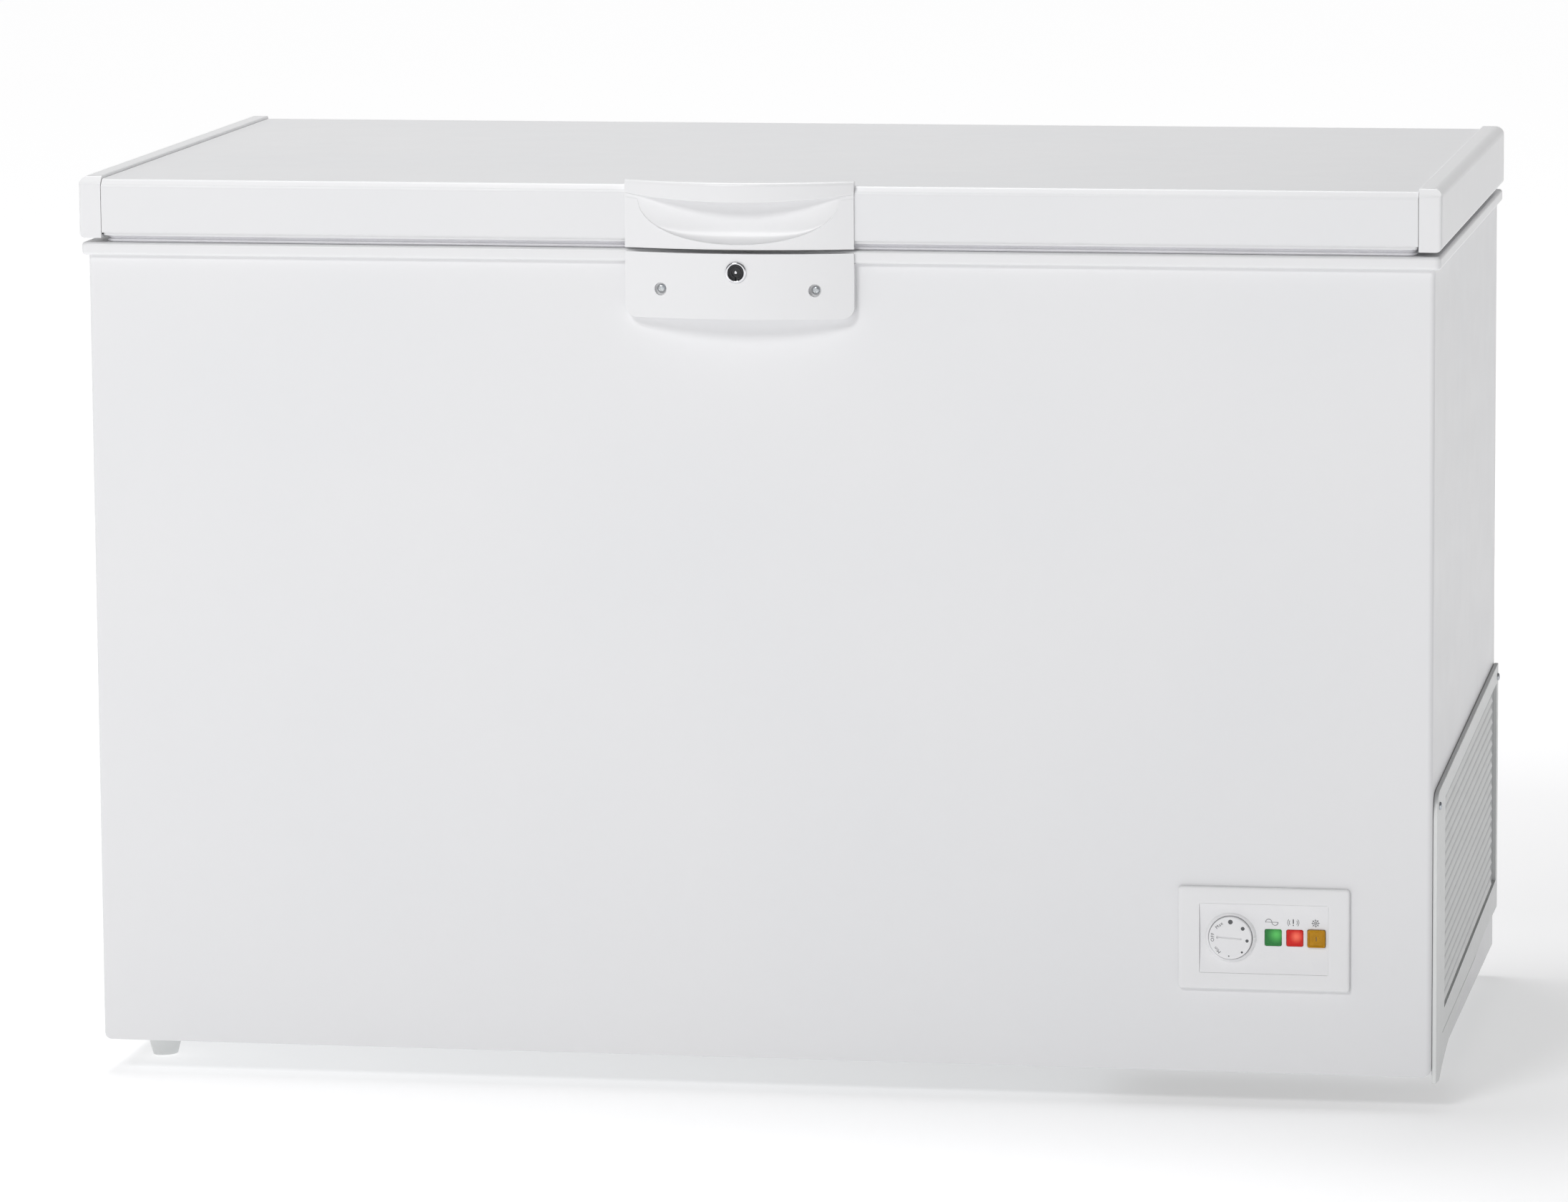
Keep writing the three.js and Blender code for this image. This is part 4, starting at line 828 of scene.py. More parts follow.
def lock_cover():
    """The bowed cover under the handle: a shell with two screw recesses and a hole for the lock."""
    low, high = box("lock_cover")
    wall = 2.5

    def view(inset):
        return filleted([
            (low.x + inset, low.z + inset, 11 - inset), (high.x - inset, low.z + inset, 11 - inset),
            (high.x - inset, high.z - inset, 1), (low.x + inset, high.z - inset, 1)], 10)
    bowed = prism(bowed_outline(0, high.y), low.z, high.z, "z")
    outer = overlap(bowed, [prism(view(0), low.y - 9, high.y + 9, "y")])
    inner = overlap(
        prism(bowed_outline(wall, high.y + 5), low.z - 1, high.z + 1, "z"),
        [prism(view(wall), low.y - 9, high.y + 9, "y")])
    bosses = [overlap(disc(at, 8, LID_FRONT - 13, high.y), [bowed]) for at in COVER_SCREWS]
    floor = LID_FRONT - 6
    holes = [disc(at, 6, low.y - 9, floor) for at in COVER_SCREWS]
    holes += [disc(at, 2.4, floor - 9, high.y + 9) for at in COVER_SCREWS]
    holes.append(disc(LOCK, 8.8, low.y - 9, LID_FRONT))
    holes.append(block((HANDLE_X - 6, LID_FRONT - 10.2, 790), (HANDLE_X + 26.5, LID_FRONT - 4.2, 800)))
    holes.append(block((-300, LID_FRONT + 0.7, RIM_BOTTOM - 0.3), (300, high.y + 9, 900)))
    shell = carved(combined(carved(outer, [inner]), bosses, "UNION"), holes)
    new_piece(
        "lock_cover_shell", softened(shell, 0.7, 3, 35), "moulded_white", "cabinet", ["lock_cover"],
        50)


def lock():
    face = box("lock_barrel")[0].y + 1.4 - LID_FRONT
    barrel = turned([
        (7.4, -9.6), (8.5, -9.6), (8.5, face), (10, face), (10, face - 0.35), (9.85, face - 0.7),
        (9.3, face - 1.15), (8.8, face - 1.35), (8.3, face - 1.4), (7.9, face - 1.3), (7.6, face - 1.0),
        (7.4, face - 0.5)], "y", 48, closed=True)
    new_piece(
        "lock_rosette", barrel.moved(*LOCK), "chrome", "cabinet", ["lock_barrel"])
    plug = turned([
        (0.01, face + 0.9), (1.5, face + 0.9), (3.6, face + 0.9), (3.9, face + 0.7), (4.1, face - 0.3),
        (4.4, face - 0.5), (4.9, face - 0.5), (5.2, face - 0.3), (5.3, face), (5.9, face), (6.0, face - 0.6),
        (6.3, face - 0.8), (6.8, face - 0.8), (7.1, face - 0.5), (7.1, -9.8), (3, -9.8), (3, -5.2),
        (0.01, -5.2)], "y", 40)
    keyway = block((-0.8, face - 3, -7.5), (0.8, face + 2.4, -4.2))
    plug = carved(plug, [keyway])
    new_piece(
        "lock_plug", plug.moved(*LOCK), "black_plastic", "lock", ["lock_cylinder"])
    post = softened(block((-1.1, face - 0.4, -1.1), (1.1, face + 1.5, 1.1)), 0.3, 2).spun(radians(12), "Y")
    new_piece("lock_post", post.moved(*LOCK), "chrome", "lock")
    cam_low, cam_high = box("lock_cam")
    reach, hook = cam_high.x - LOCK.x, cam_high.z - LOCK.z
    outline = filleted([
        (-7, -4, 3.5), (reach, -4, 1.5), (reach, hook - 2, 0.8), (reach - 1.5, hook, 0.8), (23.5, hook, 0.8),
        (23.5, 4, 1.2), (-7, 4, 3.5)], 5)
    hole = [(3.3 * cos(a), 3.3 * sin(a)) for a in (2 * pi * i / 24 for i in range(24))]
    cam = plate([outline, hole], cam_low.y, cam_high.y, "y", 0.2).moved(LOCK.x, 0, LOCK.z)
    new_piece("lock_hook", cam, "zinc_plate", "lock", ["lock_cam"])


def pan_screw(name, node, axis, point_to):
    """A cross-headed screw whose head faces away from point_to, which is 1 or -1 along the axis."""
    low, high = box(node)
    centre = (low + high) / 2
    index = "xyz".index(axis)
    radius = (high - low)[(index + 1) % 3] / 2
    outer = low[index] if point_to > 0 else high[index]
    head = 2.0
    profile = [(0.01, 0), (radius * 0.5, 0.05), (radius * 0.75, 0.3), (radius * 0.92, 0.85), (radius, head)]
    profile += [(radius * 0.5, head), (radius * 0.45, head + 1.8), (0.01, head + 1.8)]
    body = turned(profile, axis, 28)
    arm, slit = radius * 0.55, radius * 0.14
    cross = [
        prism([(-a, -b), (a, -b), (a * 0.8, b), (-a * 0.8, b)], -1, 1.1, axis) for a, b in ((arm, slit),)]
    cross.append(prism([(-slit, -arm), (slit, -arm), (slit, arm), (-slit, arm)], -1, 1.1, axis))
    made = carved(body, cross)
    offset = centre.copy()
    offset[index] = outer
    flip = Vector((1, 1, 1))
    flip[index] = point_to
    made = made.changed(lambda p: Vector(a * b for a, b in zip(p, flip)))
    new_piece(name, made.moved(*offset), "zinc_plate", "cabinet", [node])


handle()
lock_cover()
lock()
for i in (1, 2):
    pan_screw(f"cover_screw_{i}", f"lock_cover_screw_{i}", "y", 1)
    pan_screw(f"grille_screw_{i}", f"side_grille_screw_{i}", "x", -1)

# ---------------------------------------------------------------- control panel

bezel_low, bezel_high = box("control_bezel")
PANEL = (bezel_low + bezel_high) / 2
KNOB = middle("thermostat_knob")
FASCIA_HALF, FASCIA_UP = 60.2, 32.7


def fascia_face(z):
    """How far back the scooped face of the panel lies at level z: deepest half-way up."""
    return bezel_low.y + 0.3 + 2.2 * (1 - ((z - PANEL.z) / FASCIA_UP) ** 2)


def framed(half, up, radius, y, centre=None):
    """A rounded rectangle in X and Z at y, as a ring."""
    at = centre or PANEL
    return [(at.x + x, y, at.z + z) for x, z in rounded_rect(-half, half, -up, up, radius, 6)]


def bezel():
    half, up = (bezel_high.x - bezel_low.x) / 2, (bezel_high.z - bezel_low.z) / 2
    front, back = bezel_low.y, bezel_high.y
    rings = [framed(half - 0.2, up - 0.2, 3, back), framed(half, up, 3, back - 1.2)]
    edge = 2.4
    for i in range(1, 7):
        a = radians(15 * i)
        inset = edge * (1 - cos(a))
        rings.append(framed(half - inset, up - inset, max(3 - inset, 0.8), front + 0.25 + edge * (1 - sin(a))))
    rings.append(framed(half - 8, up - 6.5, 1.5, front))
    rings += [
        framed(FASCIA_HALF + 0.35, FASCIA_UP + 0.35, 1.2, front), framed(FASCIA_HALF + 0.12, FASCIA_UP + 0.12, 1.2, front + 0.2),
        framed(FASCIA_HALF + 0.1, FASCIA_UP + 0.1, 1.2, back)]
    new_piece(
        "panel_frame", loft(rings, loop=True), "moulded_white", "cabinet", ["control_bezel"], 50)


def fascia():
    """The scooped plate inside the frame, with the knob's raised collar and holes for the three lights."""
    back = bezel_high.y
    profile = [(fascia_face(PANEL.z + v), PANEL.z + v) for v in (FASCIA_UP * (i / 14 - 1) for i in range(29))]
    body = prism(profile + [(back, PANEL.z + FASCIA_UP), (back, PANEL.z - FASCIA_UP)],
                 PANEL.x - FASCIA_HALF, PANEL.x + FASCIA_HALF, "x")
    holes = [disc(KNOB, 4, -400, -300)]
    for node in ("power_lamp", "alarm_lamp", "fast_freeze_button"):
        low, high = box(node)
        outline = rounded_rect(low.x - 0.35, high.x + 0.35, low.z - 0.35, high.z + 0.35, 1.7, 5)
        holes.append(prism(outline, -400, -300, "y"))
    new_piece(
        "panel_plate", softened(carved(body, holes), 0.25, 2, 40), "dial_white", "cabinet", ["control_fascia"],
        50)
    radius = (box("thermostat_knob")[1].x - KNOB.x)
    top = box("control_fascia")[0].y
    seat = fascia_face(KNOB.z) + 0.4
    collar = turned([
        (radius + 0.6, seat), (radius + 0.6, top + 0.7), (radius + 0.8, top + 0.35), (radius + 1.3, top + 0.25),
        (radius + 1.9, top + 0.5), (radius + 2.8, top + 1.4), (radius + 3.5, top + 2.4), (radius + 3.9, seat - 0.4),
        (radius + 4.0, seat)], "y", 72, closed=True).moved(KNOB.x, 0, KNOB.z)
    pointer = softened(block((radius + 1.0, top, -0.5), (radius + 3.7, top + 1.8, 0.5)), 0.3, 2)
    new_piece(
        "dial_collar", joined([collar, pointer.moved(KNOB.x, 0, KNOB.z)]), "dial_white", "cabinet",
        angle=50)


def knob():
    low, high = box("thermostat_knob")
    radius, face = high.x - KNOB.x, low.y
    profile = [
        (0.01, face), (radius - 1.4, face), (radius - 0.8, face + 0.08), (radius - 0.35, face + 0.3),
        (radius - 0.08, face + 0.7), (radius, face + 1.2), (radius, high.y), (3.2, high.y), (3.2, face + 2.6),
        (0.01, face + 2.6)]
    disc_shape = turned(profile, "y", 96)
    slit = prism(rounded_rect(-12, 11, -0.75, 0.75, 0.7, 4), face - 1, face + 1.1, "y")
    end = prism(rounded_rect(-12.8, -10.8, -1.6, 1.2, 0.7, 4), face - 1, face + 1.6, "y")
    tilt = radians(4)
    cutters = [s.spun(tilt, "Y") for s in (slit, end)]
    made = softened(carved(disc_shape, cutters), 0.12, 2, 40)
    new_piece(
        "dial_knob", made.moved(KNOB.x, 0, KNOB.z), "dial_white", "knob", ["thermostat_knob"], 50)
    marks = []
    for reach, angle, size in (
            (15.3, 89, 4.4), (15, 38, 3.6), (16, -8, 3.0), (17.2, -50, 2.0), (17, -94, 1.3)):
        centre = (reach * cos(radians(angle)), reach * sin(radians(angle)))
        outline = [(centre[0] + u, centre[1] + v) for u, v in arc(0, 0, size / 2, 0, 345, 23)]
        marks.append(plate([outline], face - 0.1, face + 0.1, "y", 0.03))
    for word, reach, angle in (("Max", 15.6, 131), ("OFF", 16.3, 178), ("Min", 16.3, 224)):
        marks.append(lettering(word, 4.3, face, reach, angle))
    new_piece(
        "dial_marks", joined(marks).moved(KNOB.x, 0, KNOB.z), "marking_ink", "knob", angle=60)


def lettering(word, height, face, reach, angle):
    """A word of raised ink on a dial, its middle at the given radius and angle, with its top outwards."""
    text = bpy.data.curves.new("scratch", "FONT")
    text.body, text.size, text.align_x, text.align_y = word, height, "CENTER", "CENTER"
    text.extrude, text.space_character = 0.1, 1.15
    made = bpy.data.objects.new("scratch", text)
    bpy.context.scene.collection.objects.link(made)
    bpy.context.view_layer.update()
    data = bpy.data.meshes.new_from_object(made.evaluated_get(bpy.context.evaluated_depsgraph_get()))
    turn = radians(angle - 90)
    points = [
        (v.co.x * cos(turn) - v.co.y * sin(turn) + reach * cos(radians(angle)), face + v.co.z,
         v.co.x * sin(turn) + v.co.y * cos(turn) + reach * sin(radians(angle))) for v in data.vertices]
    result = Shape(points, [tuple(p.vertices) for p in data.polygons])
    bpy.data.curves.remove(text)
    bpy.data.meshes.remove(data)
    return result


def lamp(name, node, material, slot):
    """A rounded square lens with a shallow border and a slightly domed middle."""
    low, high = box(node)
    centre = (low + high) / 2
    half, front = (high.x - low.x) / 2, low.y
    steps = ((0, 7), (0, 1.0), (0.15, 0.5), (0.45, 0.15), (0.9, 0.0), (1.5, 0.0), (1.8, 0.35), (2.6, 0.3),
             (4.0, 0.2), (5.5, 0.13), (7.0, 0.1))
    rings = [framed(half - inset, half - inset, max(1.5 - inset * 0.6, 0.3), front + down, centre)
             for inset, down in steps]
    rings[0] = framed(half, half, 1.5, high.y, centre)
    new_piece(name, loft(rings), material, "cabinet", [node], 50)


def button():
    low, high = box("fast_freeze_button")
    centre = (low + high) / 2
    half, front = (high.x - low.x) / 2, low.y
    steps = ((0, 9.2), (0, 1.0), (0.15, 0.5), (0.5, 0.12), (0.9, 0.0), (1.2, 0.05), (1.6, 0.5), (1.9, 0.9),
             (3.4, 0.85), (5.4, 0.7), (7.4, 0.65))
    rings = [framed(half - inset, half - inset, max(1.6 - inset * 0.6, 0.3), front + down, centre)
             for inset, down in steps]
    bar = prism(rounded_rect(-0.35, 0.35, -2.1, 2.1, 0.3, 3), front - 1, front + 1.2, "y")
    cup = turned([(3.0, front - 1), (4.2, front - 1), (4.0, front + 0.84), (3.2, front + 0.84)], "y", 40, closed=True)
    made = carved(loft(rings), [s.moved(centre.x, 0, centre.z) for s in (bar, cup)])
    new_piece(
        "freeze_button", made, "amber_plastic", "button", ["fast_freeze_button"], 50)
    ink = prism(rounded_rect(-0.33, 0.33, -2.05, 2.05, 0.28, 3), front + 0.95, front + 1.25, "y")
    new_piece("button_mark", ink.moved(centre.x, 0, centre.z), "marking_ink", "button")


def stroke(points, width=0.5):
    """A printed line along (x, z) points on the panel plate."""
    path = [(x, fascia_face(z), z) for x, z in points]
    return tube(path, width / 2, 8)


def symbols():
    """The printed signs over the lights: a wave for power, an alarm sign and a snow crystal."""
    tops = [middle(node) + Vector((dx, 0, 14.6)) for node, dx in (
        ("power_lamp", -1.2), ("alarm_lamp", -1.4), ("fast_freeze_button", -0.8))]
    power, alarm, frost = tops
    strokes = []
    lobes = [arc(power.x - 2.9, power.z, 2.9, 180, 0, 14), arc(power.x + 2.9, power.z, 2.9, 180, 360, 14)]
    strokes += [stroke(lobe) for lobe in lobes]
    strokes.append(stroke([(power.x - 5.9, power.z), (power.x + 5.9, power.z)], 0.38))
    for side in (-1, 1):
        for radius, spread in ((3.2, 38), (4.7, 42)):
            start = 0 if side > 0 else 180
            strokes.append(stroke(arc(
                alarm.x + side * 0.6, alarm.z, radius, start - spread, start + spread, 10), 0.45))
    strokes.append(stroke([(alarm.x, alarm.z - 0.9), (alarm.x, alarm.z + 1.6), (alarm.x, alarm.z + 3.2)], 1.0))
    strokes.append(stroke([(alarm.x, alarm.z - 2.9), (alarm.x, alarm.z - 2.1)], 1.0))
    for i in range(8):
        a = radians(45 * i + 3)
        way, across = Vector((cos(a), sin(a))), Vector((-sin(a), cos(a)))
        hub = Vector((frost.x, frost.z))
        strokes.append(stroke([hub + way * 0.5, hub + way * 3.9], 0.42))
        for side in (-1, 1):
            strokes.append(stroke([hub + way * 2.2, hub + way * 3.1 + across * side * 0.9], 0.36))
    new_piece("panel_symbols", joined(strokes), "marking_ink", "cabinet", angle=60)


bezel()
fascia()
knob()
lamp("power_lens", "power_lamp", "green_lens", "green_lens")
lamp("alarm_lens", "alarm_lamp", "red_lens", "red_lens")
button()
symbols()

# ---------------------------------------------------------------- side grille and feet

def side_grille():
    """The moulded cover of the machine room: lapped louvres that climb towards the rear."""
    low, high = box("side_grille")
    front, rear, inner, outer = low.y, high.y, low.x, high.x
    top, toe, slope = 296.5, low.z, 0.034
    climb = lambda y: slope * (y - front)

    def bend(start, control, end, steps=8):
        share = [i / steps for i in range(steps + 1)]
        return [tuple((1 - t) ** 2 * a + 2 * t * (1 - t) * b + t * t * c for a, b, c in zip(start, control, end)) for t in share]

    outline = bend((front + 30, toe), (front + 108, 50), (front + 498, 69))
    outline += [(rear, 69.5), (rear, top + climb(rear))]
    outline += bend((front + 20, top + climb(front + 20)), (front + 2, top - 2), (front, top - 22)) + [(front, 24)]
    y0, y1, lowest, pitch, count = front + 78, rear - 18, 82, 10.9, 18
    face = outer - 0.15
    sheet = softened(prism(outline, inner, outer - 0.1, "x"), 0.9, 3, 50)
    recess = prism(
        [(y0, lowest - 4 + climb(y0)), (y1, lowest - 4 + climb(y1)),
         (y1, lowest + count * pitch + 1 + climb(y1)), (y0, lowest + count * pitch + 1 + climb(y0))],
        inner + 0.8, outer + 1, "x")
    groove = tube([(outer + 0.25, y, 60 + climb(y) * 0.4) for y in (front + 60, front + 330, rear - 14)], 0.9, 8)
    sheet = carved(sheet, [recess, groove])

    def louvre(z):
        """One blade: its rounded lower edge stands out, and its face leans in under the next blade."""
        lip = arc(face - 0.5, z + 2.6, 0.5, 270, 375, 6)
        section = [(inner + 0.3, z + 3.4)] + lip + [(inner + 0.9, z + pitch + 2.4), (inner + 0.3, z + pitch + 2.2)]
        ends = [(y0 - 0.5, 1), (y1 - 47, 1), (y1 - 46, 0.85), (y1 - 45.6, 0.1)]
        return loft([[(inner + 0.3 + (x - inner - 0.3) * share, y, w + climb(y)) for x, w in section] for y, share in ends])

    slots = [
        prism([(y0 + 6, z - 0.8 + climb(y0 + 6)), (y1 - 54, z - 0.8 + climb(y1 - 54)),
               (y1 - 54, z + 2.6 + climb(y1 - 54)), (y0 + 6, z + 2.6 + climb(y0 + 6))], inner - 1, outer + 1, "x")
        for z in (lowest + i * pitch for i in range(count))]
    holes = []
    for screw in ("side_grille_screw_1", "side_grille_screw_2"):
        spot = middle(screw)
        holes.append(turned([(0.01, inner - 1), (2.1, inner - 1), (2.1, outer + 1), (0.01, outer + 1)], "x", 16).moved(0, spot.y, spot.z))
    sheet = carved(sheet, slots + holes)
    blades = joined([louvre(lowest + i * pitch) for i in range(count)])
    rib = tube([(outer - 0.75, y, 72.5 + climb(y)) for y in (y0 - 4, y1)], 0.7, 8)
    new_piece("grille_sheet", joined([sheet, rib]), "grille_plastic", "cabinet", ["side_grille"], 30)
    floor_of_recess = prism(
        [(y1 - 47, lowest - 3.6 + climb(y1 - 47)), (y1 - 0.4, lowest - 3.6 + climb(y1)),
         (y1 - 0.4, lowest + count * pitch + 0.6 + climb(y1)), (y1 - 47, lowest + count * pitch + 0.6 + climb(y1 - 47))],
        inner + 0.6, inner + 0.95, "x")
    new_piece("grille_louvres", joined([blades, floor_of_recess]), "louvre_plastic_painted_shade", "cabinet", angle=30)


def foot(name, angle):
    """A tapered moulded foot under a flange, with rings on its sole."""
    low, high = box(f"foot_{name}")
    x, y = (low.x + high.x) / 2, (low.y + high.y) / 2
    flange = prism(rounded_rect(-27, 27, -20, 20, 6, 5), 28, 31, "z")
    stem = turned(
        [(0.01, 2.2), (3, 2.2), (3.4, 0.9), (6.4, 0.9), (6.8, 2.2), (8.8, 2.2), (9.2, 0), (11.6, 0), (12.4, 0.6),
         (12.8, 2), (16.6, 16), (18.2, 24), (20, 28.6), (0.01, 28.6)], "z", 32)
    stem = stem.changed(lambda p: Vector((p.x, p.y * 0.72, p.z)))
    shape = joined([softened(flange, 0.8, 2, 40), stem]).spun(radians(angle), "Z").moved(x, y, 0)
    new_piece(f"foot_pad_{name}", shape, "grille_plastic", "cabinet", [f"foot_{name}"], 35)


side_grille()
for name, angle in (("front_left", 38), ("front_right", -38), ("rear_left", -38), ("rear_right", 38)):
    foot(name, angle)

# ---------------------------------------------------------------- basket

def basket():
    """A basket of coated wire: rim and base hoops, uprights bent under the floor, long stays and two hangers."""
    low, high = box("wire_basket")
    x0, x1, rail_out = low.x + 1.5, high.x - 1.5, high.y
    centre_x, centre_y = (low.x + high.x) / 2, (low.y + high.y) / 2
    half_y = 263.0
    y0, y1 = centre_y - half_y, centre_y + half_y
    bottom, top = low.z + 1.3, high.z - 5.7
    thick, thin, corner = 2.6, 1.3, 12

    def hoop(z, inset, radius):
        return tube([(x, y, z) for x, y in rounded_rect(
            x0 + inset, x1 - inset, y0 + inset, y1 - inset, corner, 6)], radius, 8, loop=True)

    parts = [hoop(top, 0.6, thick), hoop(bottom + 50, 0, thin), hoop(bottom + 100, 0, thin)]
    bow = 7

    def cradle(along, across0, across1, swap):
        """A wire that runs down one side, under the floor and up the other side."""
        down = [(across0, top), (across0, bottom + bow + 3)]
        down += [(across0 + bow - bow * cos(a), bottom + bow - bow * sin(a)) for a in (radians(22.5 * i) for i in range(5))]
        up = [(across1 + across0 - c, z) for c, z in reversed(down)]
        path = [(along, c, z) if swap else (c, along, z) for c, z in down + up]
        return tube(path, thin, 6)

    across = 19
    parts += [cradle(lerp(y0 + 16, y1 - 16, i / (across - 1)), x0, x1, False) for i in range(across)]
    lengthwise = 11
    parts += [
        cradle(lerp(x0 + 16, x1 - 16, i / (lengthwise - 1)), y0, y1, True).moved(0, 0, 2 * thin * 0.8)
        for i in range(lengthwise)]
    for side in (-1, 1):
        reach = rail_out - centre_y - 2.4
        handle_path = [(-126, half_y - 1), (-126, reach - 7)] + [
            (-126 + 7 - 7 * cos(a), reach - 7 + 7 * sin(a)) for a in (radians(22.5 * i) for i in range(1, 5))]
        handle_path += [(-x, y) for x, y in reversed(handle_path)]
        level = high.z - 3.0
        parts.append(tube([(centre_x + x, centre_y + side * y, level) for x, y in handle_path], 2.4, 8))
    new_piece("basket_wires", joined(parts), "coated_wire", "basket", ["wire_basket"], 50)


basket()

# ---------------------------------------------------------------- inside of the lid

def lid_inside():
    """The white inner panel of the lid, pressed into a tray with ribs, and the seal with its bellows."""
    low, high = box("lid_liner")
    gasket_low, gasket_high = box("lid_gasket")
    half, corner = 551.8, 24
    front, rear = -255.5, 261.5
    tray = lambda inset, z, radius: [
        (x, y, z) for x, y in rounded_rect(-half + inset, half - inset, front + inset, rear - inset, radius, 8)]
    edge = lambda z: [(x, y, z) for x, y in rounded_rect(low.x, high.x, low.y, high.y, 3, 8)]
    under = gasket_high.z + 0.3
    rings = [edge(high.z), edge(under)]
    rings += [tray(-6, under, corner + 6), tray(-2, under - 1.2, corner + 2), tray(0, under - 4, corner)]
    rings += [tray(0, low.z + 2, corner), tray(0.6, low.z + 0.6, corner), tray(2, low.z, corner)]
    for inset in (60, 78, 96):
        rings += [tray(inset, low.z, corner), tray(inset + 2, low.z + 0.7, corner), tray(inset + 5, low.z + 0.7, corner)]
        rings += [tray(inset + 7, low.z, corner)]
    outside = loft(rings)
    tray_inside = loft([tray(1.7, z, corner) for z in (high.z + 1, low.z + 1.7)])
    new_piece("lid_tray", carved(outside, [tray_inside]), "moulded_white", "lid", ["lid_liner"], 30)

    mid = lambda inset, z: [(x, y, z) for x, y in rounded_rect(
        gasket_low.x + inset, gasket_high.x - inset, gasket_low.y + inset, gasket_high.y - inset, max(8 - inset * 0.3, 1), 5)]
    z0, z1 = gasket_low.z, gasket_high.z
    outer_side = [(0.2, z1), (0.1, z1 - 1.2), (1.6, z1 - 2.2), (1.8, z1 - 3.0), (0.3, z1 - 3.9), (0.1, z0 + 1.2), (1.2, z0)]
    inner_side = [(17.6, z0), (19.6, z0 + 1.4), (18.6, z1 - 3.2), (19.9, z1 - 1.4), (19.7, z1)]
    profile = outer_side + inner_side
    seal = loft([mid(inset, z) for inset, z in profile], caps=False, loop=True)
    new_piece("lid_seal", seal, "seal_vinyl", "lid", ["lid_gasket"], 30)


lid_inside()

# ---------------------------------------------------------------- hinges and machine room

HINGE_X = 420


def hinge_spring(side):
    """The coil spring that carries the lid: its lower end stays, its upper end follows the pull rod."""
    node = f"hinge_spring_{side}"
    low, high = box(node)
    x, y = (low.x + high.x) / 2, (low.y + high.y) / 2
    wire, turns, steps, dead_turn = 1.1, 13, 20, 1.2
    coil = (high.x - low.x) / 2 - wire
    path = []
    for i in range(turns * steps + 1):
        turn = i / steps
        rise = min(max((turn - dead_turn) / (turns - 2 * dead_turn), 0), 1)
        angle = 2 * pi * turn
        path.append((x + coil * cos(angle), y + coil * sin(angle), lerp(low.z + wire, high.z - wire, rise)))
    made = new_piece(f"spring_{side}", tube(path, wire, 6), "zinc_plate", "cabinet", [node], 60)
    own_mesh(made)


def hex_bolt(x, y, z, across, height):
    """A hexagonal head with a washer face, seen from behind the cabinet."""
    corner = across / sqrt(3)
    hexagon = [(corner * cos(radians(60 * i)), corner * sin(radians(60 * i))) for i in range(6)]
    head = overlap(
        prism(hexagon, 0.4, height, "y"),
        [turned([(0.01, 0.3), (corner + 0.1, 0.3), (corner + 0.1, height - 0.9), (across * 0.48, height), (0.01, height)], "y", 32)])
    washer = turned([(0.01, 0), (across * 0.62, 0), (across * 0.62, 0.5), (0.01, 0.5)], "y", 24)
    return joined([head, washer]).moved(x, y, z)


def hinge_bolts():
    bracket_face, leaf_face = 335.8, 337.3
    fixed = [
        hex_bolt(side * HINGE_X + dx, bracket_face, z, 7, 3.2) for side in (-1, 1) for dx in (-28, 28) for z in (660, 760)]
    new_piece("bracket_bolts", joined(fixed), "zinc_plate", "cabinet")
    moving = [
        hex_bolt(side * HINGE_X + dx, leaf_face, z, 6, 2.4) for side in (-1, 1) for dx in (-27, 27) for z in (816, 842)]
    new_piece("leaf_bolts", joined(moving), "zinc_plate", "lid")


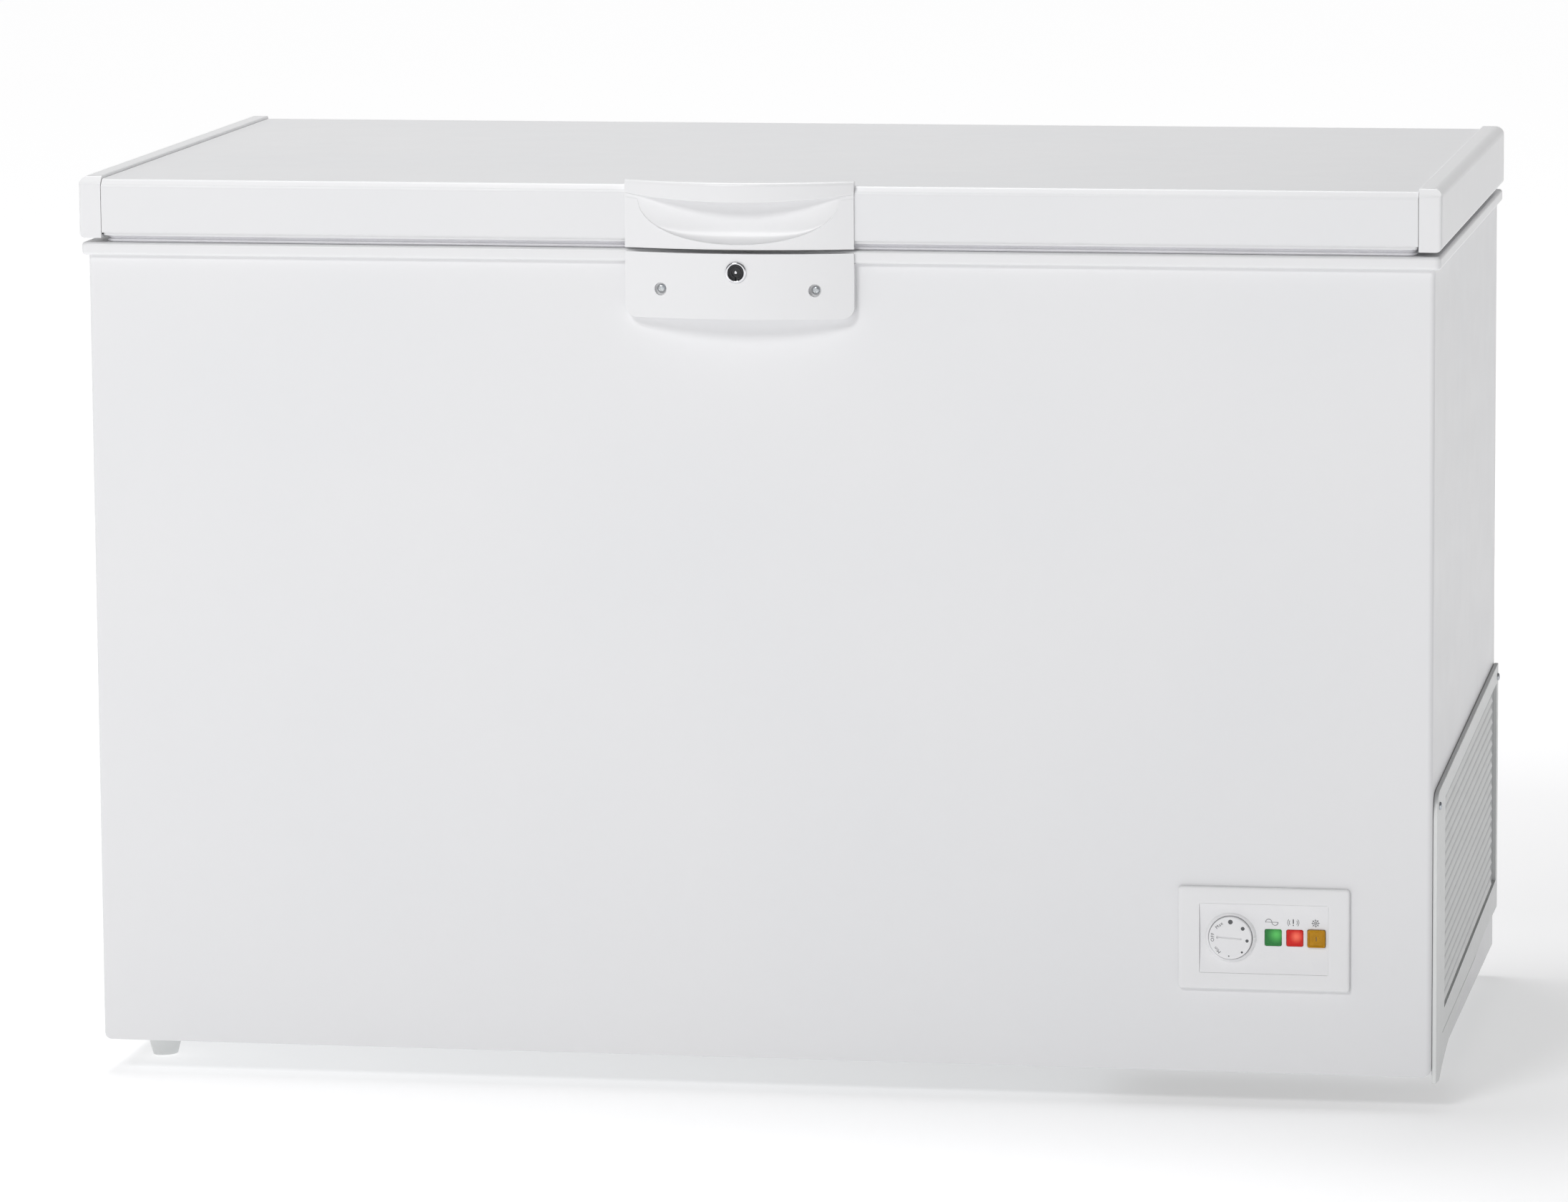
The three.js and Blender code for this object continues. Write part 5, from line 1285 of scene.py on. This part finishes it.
def rear_screws():
    """Pan-headed screws along the edges of the rear panel."""
    low, high = box("rear_panel")
    head = [(0.01, 1.5), (1.6, 1.45), (2.9, 1.1), (3.5, 0.5), (3.6, 0), (0.01, 0)]
    slit = block((-2.2, 0.8, -0.35), (2.2, 3, 0.35))
    across = [lerp(low.x + 12, high.x - 12, i / 5) for i in range(6)]
    spots = [(x, z) for x in across for z in (low.z + 12, high.z - 14)]
    spots += [(x, lerp(low.z, high.z, 0.5)) for x in (across[0], across[-1])]
    made = carved(turned(head, "y", 24), [slit, slit.spun(pi / 2, "Y")])
    turned_by = [made.spun(radians(37 * i), "Y").moved(x, high.y, z) for i, (x, z) in enumerate(spots)]
    new_piece("rear_screws", joined(turned_by), "zinc_plate", "cabinet", angle=40)


def compressor():
    """The hermetic compressor: a drawn steel can with a welded seam on a foot plate, and its pipe stubs."""
    x, y, z = 482, 130, 35
    stretch = 1.16
    seam = 107
    wall = filleted([(0.01, 15, 0), (56, 15, 12), (70, 24, 16), (79, 70, 20), (79.5, seam - 3, 1)], 6)
    weld = [(80, seam - 3), (83.5, seam - 2.6), (84, seam), (83.5, seam + 2.6), (79.5, seam + 3)]
    cap = filleted([(79.5, seam + 4, 1), (78, 142, 22), (69, 170, 26), (48, 188, 26), (0.01, 194, 20)], 6)
    can = turned(wall + weld + cap, "z", 56).changed(lambda p: Vector((p.x * stretch, p.y, p.z)))
    foot_plate = carved(
        plate([rounded_rect(-102, 102, -84, 84, 14)], 12.3, 15.3, "z", 0.7),
        [turned([(0.01, 0), (7.2, 0), (7.2, 30), (0.01, 30)], "z", 20).moved(side * 88, end * 70, 0)
         for side in (-1, 1) for end in (-1, 1)])
    stubs = [tube([(-40, across, low), (-40, across, high)], 5.4, 16) for across, low, high in ((-20, 160, 208), (30, 140, 206))]
    name_boss = softened(block((-26, -86, 60), (26, -70, 92)), 3, 3)
    made = joined([can, foot_plate, name_boss] + stubs).moved(x, y, z)
    new_piece("compressor_can", made, "black_enamel", "cabinet", ["compressor"], 35)


for side in ("left", "right"):
    hinge_spring(side)
hinge_bolts()
rear_screws()
compressor()

# ---------------------------------------------------------------- CAD nodes that keep their own shape

SLOT_MATERIALS = {
    "body_paint": "painted_steel", "liner_aluminium": "embossed_aluminium", "chrome_trim": "chrome",
    "copper_pipe": "copper", "seal_grey": "seal_vinyl", "foam": "rigid_foam", "basket_wire": "coated_wire"}

for part in frame["record"]["subparts"]:
    slot = part["material_slot"]
    data = nodes[part["node"]].data
    data.materials.clear()
    data.materials.append(MATERIALS[SLOT_MATERIALS.get(slot, slot)])
